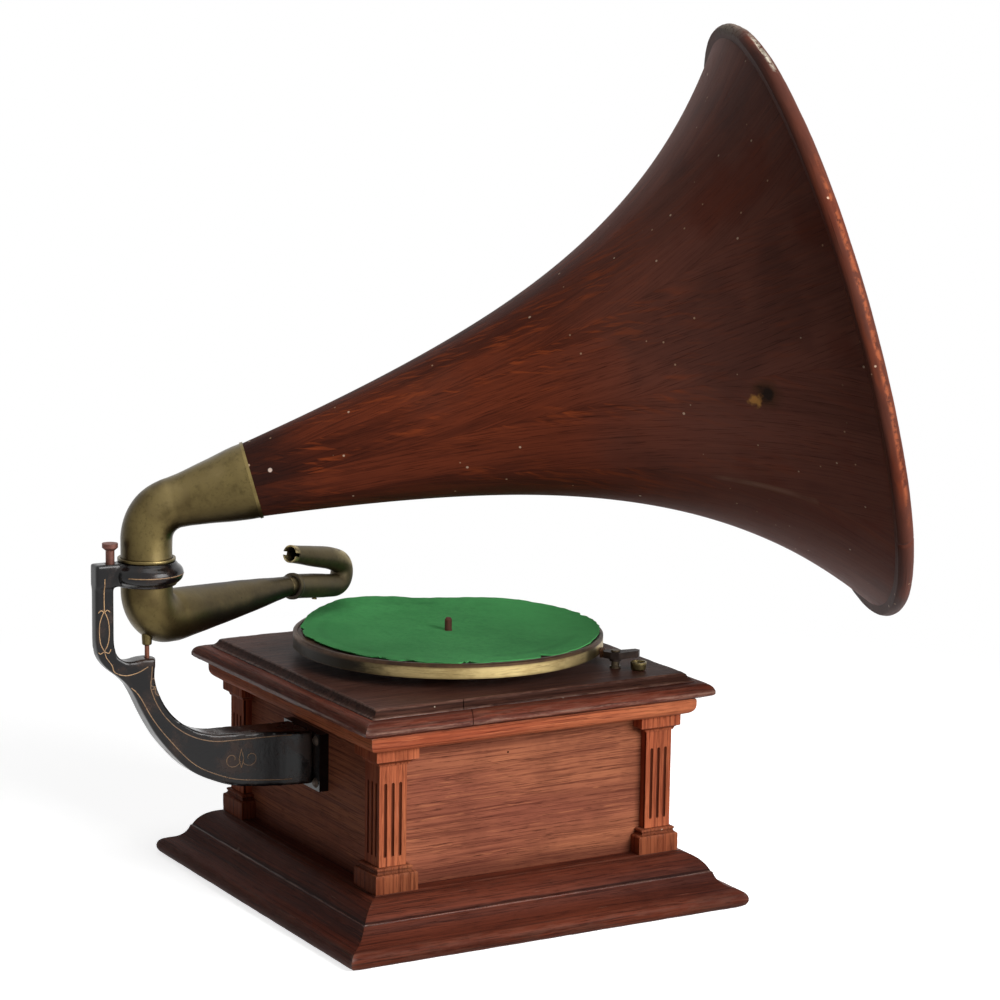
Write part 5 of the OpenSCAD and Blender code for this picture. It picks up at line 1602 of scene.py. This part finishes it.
class GRAMOPHONE_OT_sound_path(Operator):
    """Builds the tone arm, the gooseneck and the horn's elbow"""

    bl_idname = "gramophone.sound_path"
    bl_label = "Tone arm and elbow"

    def execute(self, context):
        metals = settings().metals
        brass, dark, deep = tuple(metals.brass), tuple(metals.brass_dark), tuple(metals.bronze)
        gone = ((0, RING_Y * MM, 0), 0.02, 0.09, deep)
        self.make_arm(aged_metal("arm_brass", brass, dark, 0.32, 0.5, gone, shaded=0.3))
        self.make_neck(aged_metal(
            "neck_brass", srgb(86, 74, 47), deep, 0.42, 0.52, metallic=0.6, shaded=0.25))
        self.make_elbow(aged_metal(
            "elbow_brass", scaled(brass, 1.25), dark, 0.3, 0.56, shaded=0.75))
        dress("horn_ferrule", aged_metal(
            "ferrule_brass", srgb(130, 114, 72), dark, 0.3, shaded=0.5))
        dress("gooseneck_screw", aged_metal("neck_screw_brass", srgb(110, 96, 62), deep, 0.35))
        return {"FINISHED"}

    def straight(self, widths):
        """Stations along the X axis, from points of (place, radius)."""
        return [((x, 0, 0), (1, 0, 0), radius, radius - WALL) for x, radius in widths]

    def make_arm(self, material):
        """The tapered arm with its spigot for the gooseneck and the boss that it turns on."""
        bend, bore = ARM_BEND, TUBE - WALL
        stations = [((0, 0, z), (0, 0, -1), TUBE, bore) for z in (350, 344, 336, 330)]
        for k in range(25):
            a = math.radians(180 + 90 * k / 24)
            centre = (bend + bend * math.cos(a), 0, ARM_HEIGHT + bend + bend * math.sin(a))
            way = (-math.sin(a), 0, math.cos(a))
            stations.append((centre, way, TUBE + 0.5 * (k / 24) ** 2, bore))
        taper = [(bend, TUBE + 0.5), (37, TUBE + 0.8), (60, 23.6), (137, 17.5), (ARM_LENGTH, 9.9)]
        for k in range(1, 61):
            x = bend + (ARM_LENGTH - bend) * k / 60
            radius = between(taper, x)
            stations.append(((x, 0, ARM_HEIGHT), (1, 0, 0), radius, radius - WALL))
        points, faces = tube(stations, 96, 0.35, 4.0)
        points = placed(points, ARM_FRAME)
        spigot = self.straight([(-2, 9.9), (-1, 10.6), (2.5, 10.6), (3, 9.85), (54, 9.85)])
        more, more_faces = tube(spigot, 64)
        add_part(points, faces, placed(more, NECK_FRAME), more_faces)
        boss = [(0, 275.2), (3.6, 275.2), (4.6, 276.2), (4.8, 280), (5.2, 288), (0, 288)]
        more, more_faces = turned_solid(boss, 40)
        add_part(points, faces, placed(more, shifted(0, RING_Y, 0)), more_faces)
        make_piece("taper_arm", points, faces, material, "arm", ["tone_arm"])

    def make_neck(self, material):
        """The gooseneck: its socket, its two bends and the slotted open end."""
        socket, bore = 58, 10.4
        profile = [
            (6, 12.6), (6.6, 13.4), (9.4, 13.5), (11.2, 13.2), (12, 12.5), (14, 12.3),
            (40, 12.3), (socket, 12.2), (62, 11.9), (70, 11.7), (73, NECK_TUBE),
        ]
        stations = [
            (centre, way, outer, bore if centre[0] < socket else inner)
            for centre, way, outer, inner in self.straight(profile)
        ]
        here, heading, run = Vector((NECK_LEG, 0, 0)), 0.0, 0.0
        for radius, turn in NECK_BENDS:
            steps = max(8, round(turn / 3.5))
            half = math.radians(turn / steps / 2)
            for _ in range(steps):
                heading += half
                here = here + Vector((math.cos(heading), 0, math.sin(heading))) * radius * 2 * half
                heading += half
                way = Vector((math.cos(heading), 0, math.sin(heading)))
                if radius > NECK_BENDS[0][0]:
                    run += radius * 2 * half
                wide = NECK_TUBE - 0.4 * run / 22  # only the second bend narrows
                stations.append((here, way, wide, wide - WALL))
        widths = [(-20, 11.5), (0, 11.2), (24, 10.2), (47, 9.1), (BOX_LEG, 9.0)]
        for k in range(1, 25):
            reach = BOX_LEG * k / 24
            wide = between(widths, reach)
            stations.append((here + way * reach, way, wide, wide - WALL))
        points, faces = tube(stations, 72, 0.25, 9.0)
        open_end = here + way * BOX_LEG
        wear = [self.rubbed(p / MM, open_end, way) for p in points]
        piece = make_piece(
            "gooseneck_tube", placed(points, NECK_FRAME), faces, material, "neck",
            ["gooseneck"], marks={"wear": wear},
        )
        self.cut_slots(piece)

    def rubbed(self, point, open_end, way):
        """How bright the gooseneck is rubbed: outside its first bend and at its open end."""
        outer = point - Vector((NECK_LEG, 0, NECK_BENDS[0][0]))
        outside = clamped((outer.length - 16) / 7)
        ahead = max(0.0, outer.normalized().dot(Vector((0.6, 0, 0.8))))
        end = 1 - (open_end - point).dot(way) / 7 if point.z > 14 else 0.0
        return clamped(max(outside * ahead ** 2 * 1.2, end * 1.6))

    def cut_slots(self, piece):
        """Cuts the two slots of the open end."""
        (first, first_turn), (second, second_turn) = NECK_BENDS
        turn = NECK_FRAME @ shifted(NECK_LEG, 0, first) @ turn_y(-first_turn)
        turn = turn @ shifted(0, 0, second - first) @ turn_y(-second_turn)
        deep, through, wide = 8 * MM, 24 * MM, 3.4 * MM
        bm = bmesh.new()
        bmesh.ops.create_cube(bm, size=1.0)
        bmesh.ops.scale(bm, vec=(deep, through, wide), verts=bm.verts)
        bmesh.ops.translate(bm, vec=((BOX_LEG - 2) * MM, 0, -second * MM), verts=bm.verts)
        mesh = bpy.data.meshes.new("cutter")
        bm.to_mesh(mesh)
        bm.free()
        mesh.transform(in_metres(turn))
        cutter = link_object("cutter", mesh)
        cut = piece.modifiers.new("slots", "BOOLEAN")
        cut.operation = "DIFFERENCE"
        cut.solver = "EXACT"
        cut.object = cutter
        result = evaluated_mesh(piece)
        piece.modifiers.clear()
        piece.data = result
        bpy.data.objects.remove(cutter)

    def make_elbow(self, material):
        """The elbow over the ring, its flange, and its widening leg towards the horn."""
        bend, bore = ELBOW_BEND, TUBE - WALL
        stations = [((0, 0, z), (0, 0, 1), TUBE, bore) for z in (350.5, 356, 360, 366, 372)]
        for k in range(31):
            a = math.radians(180 - 74 * k / 30)
            centre = (bend + bend * math.cos(a), 0, ELBOW_HEIGHT + bend * math.sin(a))
            stations.append((centre, (math.sin(a), 0, -math.cos(a)), TUBE, bore))
        # the leg from the end of the bend to the ferrule
        start, way = Vector(stations[-1][0]), Vector(stations[-1][1])
        length = 73.8
        widths = [(0, TUBE), (12, TUBE + 1.4), (length - 10, 35.2), (length, 36.4)]
        for k in range(1, 31):
            run = length * k / 30
            radius = between(widths, run)
            stations.append((start + way * run, way, radius, radius - WALL))
        points, faces = tube(stations, 112, 0.45, 1.0)
        points = placed(points, ELBOW_FRAME)
        flange = softened([(24.4, 357), (27.5, 357), (27.5, 360), (24.4, 360)], 0.8)
        more, more_faces = turned(flange, 96)
        add_part(points, faces, placed(more, shifted(0, RING_Y, 0)), more_faces)
        make_piece("elbow_tube", points, faces, material, "horn", ["horn_elbow"])


class GRAMOPHONE_OT_horn(Operator):
    """Builds the wooden horn and the roll round its mouth"""

    bl_idname = "gramophone.horn"
    bl_label = "Horn"

    SEAM_AT = 145  # an angle round the horn at which two staves meet
    SEAM_DEPTH = 0.09
    GLUE_AT, GLUE_FROM, GLUE_TO = 217, 454, 589  # the seam that shows old glue, and how far
    # the roll's damage, as angles round the mouth: middle and half width, or start and end
    BROKEN, SCUFFED, NOTCH = (112, 9), (93, 12), (218.5, 0.45)
    RUBBED_FROM, RUBBED_TO = 140, 216

    def execute(self, context):
        self.make_bell(horn_wood("horn_oak"))
        self.make_roll(horn_wood("roll_oak", False, 0.5))
        return {"FINISHED"}

    def make_bell(self, material):
        """Staves whose edges meet in fine seams."""
        shapes = settings().shapes
        count, steps, inside = shapes.staves, 110, 24
        around, rows = count * (inside + 3), steps + 1
        step = 2 * math.pi / count
        shift = math.radians(self.SEAM_AT) % step
        outer, inner, grain, seam, glue = [], [], [], [], []
        for i in range(rows):
            along = HORN_START + HORN_LENGTH * (1 - (1 - i / steps) ** 1.35)
            radius = horn_radius(along)
            wall = 4.6 * (1 + 0.35 * (along - HORN_START) / HORN_LENGTH)
            # the staves' flats fade out towards both ends of the horn
            flatness = shapes.stave_flat * clamped(min(HORN_END - along, along - 100) / 60)
            fine = 0.9 / (radius * step)
            places = [0.1 * fine, fine] + [k / inside for k in range(1, inside)]
            places += [1 - fine, 1 - 0.1 * fine]
            for j in range(count):
                for k, place in enumerate(places):
                    offset = (place - 0.5) * step
                    angle = shift + (j + 0.5) * step + offset
                    way = Vector((math.cos(angle), math.sin(angle), 0))
                    flat = math.cos(step / 2) / math.cos(offset)
                    on_seam = k in (0, len(places) - 1)
                    drift = 0.5 * noise.noise(Vector((way.x * 2, way.y * 2, along * 0.006)))
                    r = radius * (1 - flatness * (1 - flat)) + drift * min(1, radius / 100)
                    middle = Vector((0, 0, along))
                    sunk = self.SEAM_DEPTH if on_seam else 0
                    outer.append((HORN_FRAME @ (middle + way * (r - sunk))) * MM)
                    inner.append((HORN_FRAME @ (middle + way * (r - wall))) * MM)
                    grain.append(Vector((along * MM, offset * radius * MM, 0.7 * j)))
                    seam.append(1.0 if on_seam else 0.0)
                    on_glue = abs(math.degrees(angle) % 360 - self.GLUE_AT) < 0.8
                    glued = on_glue and self.GLUE_FROM < along < self.GLUE_TO
                    glue.append(1.0 if glued else 0.0)

        def backwards(values):
            return [v for i in range(rows)[::-1] for v in values[i * around:(i + 1) * around]]

        none, whole = [0.0] * len(seam), [1.0] * len(seam)
        make_piece(
            "horn_bell", outer + backwards(inner), join_rings(2 * rows, around, closed_path=True),
            material, "horn", ["horn"],
            marks={
                "grain": grain + backwards(grain),
                "seam": seam + backwards(seam),
                "glue": glue + none,
                "outside": whole + none,
            },
        )

    def make_roll(self, material):
        """The turned roll: worn along its front edge, and chipped at the top."""
        centre, chord, r = horn_radius(HORN_END) + 2.3, 7.0, 9.6
        half = math.degrees(math.asin(chord / r))
        profile = arc((centre, HORN_END + chord), r, -half, 180 + half, 40)
        outline = evenly(softened(profile, 0.8), 0.8)
        marks = outline_marks(outline)
        around = 720
        points, grain, wear, chip = [], [], [], []
        for k in range(around):
            degrees = 360 * k / around
            angle = math.radians(degrees)
            way = Vector((math.cos(angle), math.sin(angle), 0))
            broken = peak(degrees, *self.BROKEN) ** 0.5
            scuffed = peak(degrees, *self.SCUFFED)
            notch = peak(degrees, *self.NOTCH)
            rubbed = clamped(min(degrees - self.RUBBED_FROM, self.RUBBED_TO - degrees) / 14)
            for (radius, along), (normal, _, _) in zip(outline, marks):
                seed = Vector((way.x * 14, way.y * 14, along * 0.12 + radius * 0.1))
                rough = noise.noise(seed * 1.3) + 0.6 * noise.noise(seed * 4)
                around_roll = math.degrees(math.atan2(along - HORN_END - chord, radius - centre))
                lip = peak(around_roll, 26, 20)
                outside = max(0.0, (radius - centre) / r)
                depth = 0.25 * noise.noise(seed * 0.4) + 0.12 * rough
                depth += broken * lip * (1.6 + 2.0 * rough)
                depth += scuffed * outside * max(0.0, 0.4 + rough)
                depth += lip * rubbed * (0.5 + 0.8 * rough)
                depth += notch * 1.6 * outside
                at = way * (radius - normal.x * depth) + Vector((0, 0, along - normal.y * depth))
                points.append((HORN_FRAME @ at) * MM)
                run = 0.55 + 0.1 * way.x + along * 0.0001
                grain.append(Vector((run, radius * MM * 2, angle * 0.29)))
                wear.append(min(1.0, rubbed * lip * 1.5))
                chip.append(min(1.0, broken * lip * 1.6 + 0.45 * scuffed * outside))
        make_piece(
            "horn_mouth_roll", points, join_rings(around, len(outline), closed_path=True),
            material, "horn", ["horn_roll"],
            marks={"grain": grain, "wear": wear, "chip": chip},
        )


# ---------------------------------------------------------------- panel and registration


class GramophoneSettings(PropertyGroup):
    camera: PointerProperty(type=CameraSettings)
    lights: PointerProperty(type=LightSettings)
    wood: PointerProperty(type=WoodSettings)
    metals: PointerProperty(type=MetalSettings)
    cloth: PointerProperty(type=ClothSettings)
    shapes: PointerProperty(type=ShapeSettings)


OPERATORS = (
    GRAMOPHONE_OT_stage,
    GRAMOPHONE_OT_mouldings,
    GRAMOPHONE_OT_case,
    GRAMOPHONE_OT_turntable,
    GRAMOPHONE_OT_motor,
    GRAMOPHONE_OT_brake,
    GRAMOPHONE_OT_bracket,
    GRAMOPHONE_OT_sound_path,
    GRAMOPHONE_OT_horn,
)


class GRAMOPHONE_PT_parts(Panel):
    """Lists the settings and the parts of the gramophone"""

    bl_idname = "GRAMOPHONE_PT_parts"
    bl_label = "Horn gramophone"
    bl_space_type = "VIEW_3D"
    bl_region_type = "UI"
    bl_category = "Gramophone"

    def draw(self, context):
        for operator in OPERATORS:
            self.layout.operator(operator.bl_idname)
        for name in ("camera", "lights", "wood", "metals", "cloth", "shapes"):
            group = getattr(context.scene.gramophone, name)
            box = self.layout.box()
            box.label(text=name.capitalize())
            for key in group.__annotations__:
                box.prop(group, key)


CLASSES = (
    CameraSettings,
    LightSettings,
    WoodSettings,
    MetalSettings,
    ClothSettings,
    ShapeSettings,
    GramophoneSettings,
    *OPERATORS,
    GRAMOPHONE_PT_parts,
)


def register():
    for cls in CLASSES:
        bpy.utils.register_class(cls)
    bpy.types.Scene.gramophone = PointerProperty(type=GramophoneSettings)


def unregister():
    del bpy.types.Scene.gramophone
    for cls in reversed(CLASSES):
        bpy.utils.unregister_class(cls)


def main():
    register()
    for operator in OPERATORS:
        area, name = operator.bl_idname.split(".")
        getattr(getattr(bpy.ops, area), name)()


if __name__ == "__main__":
    main()
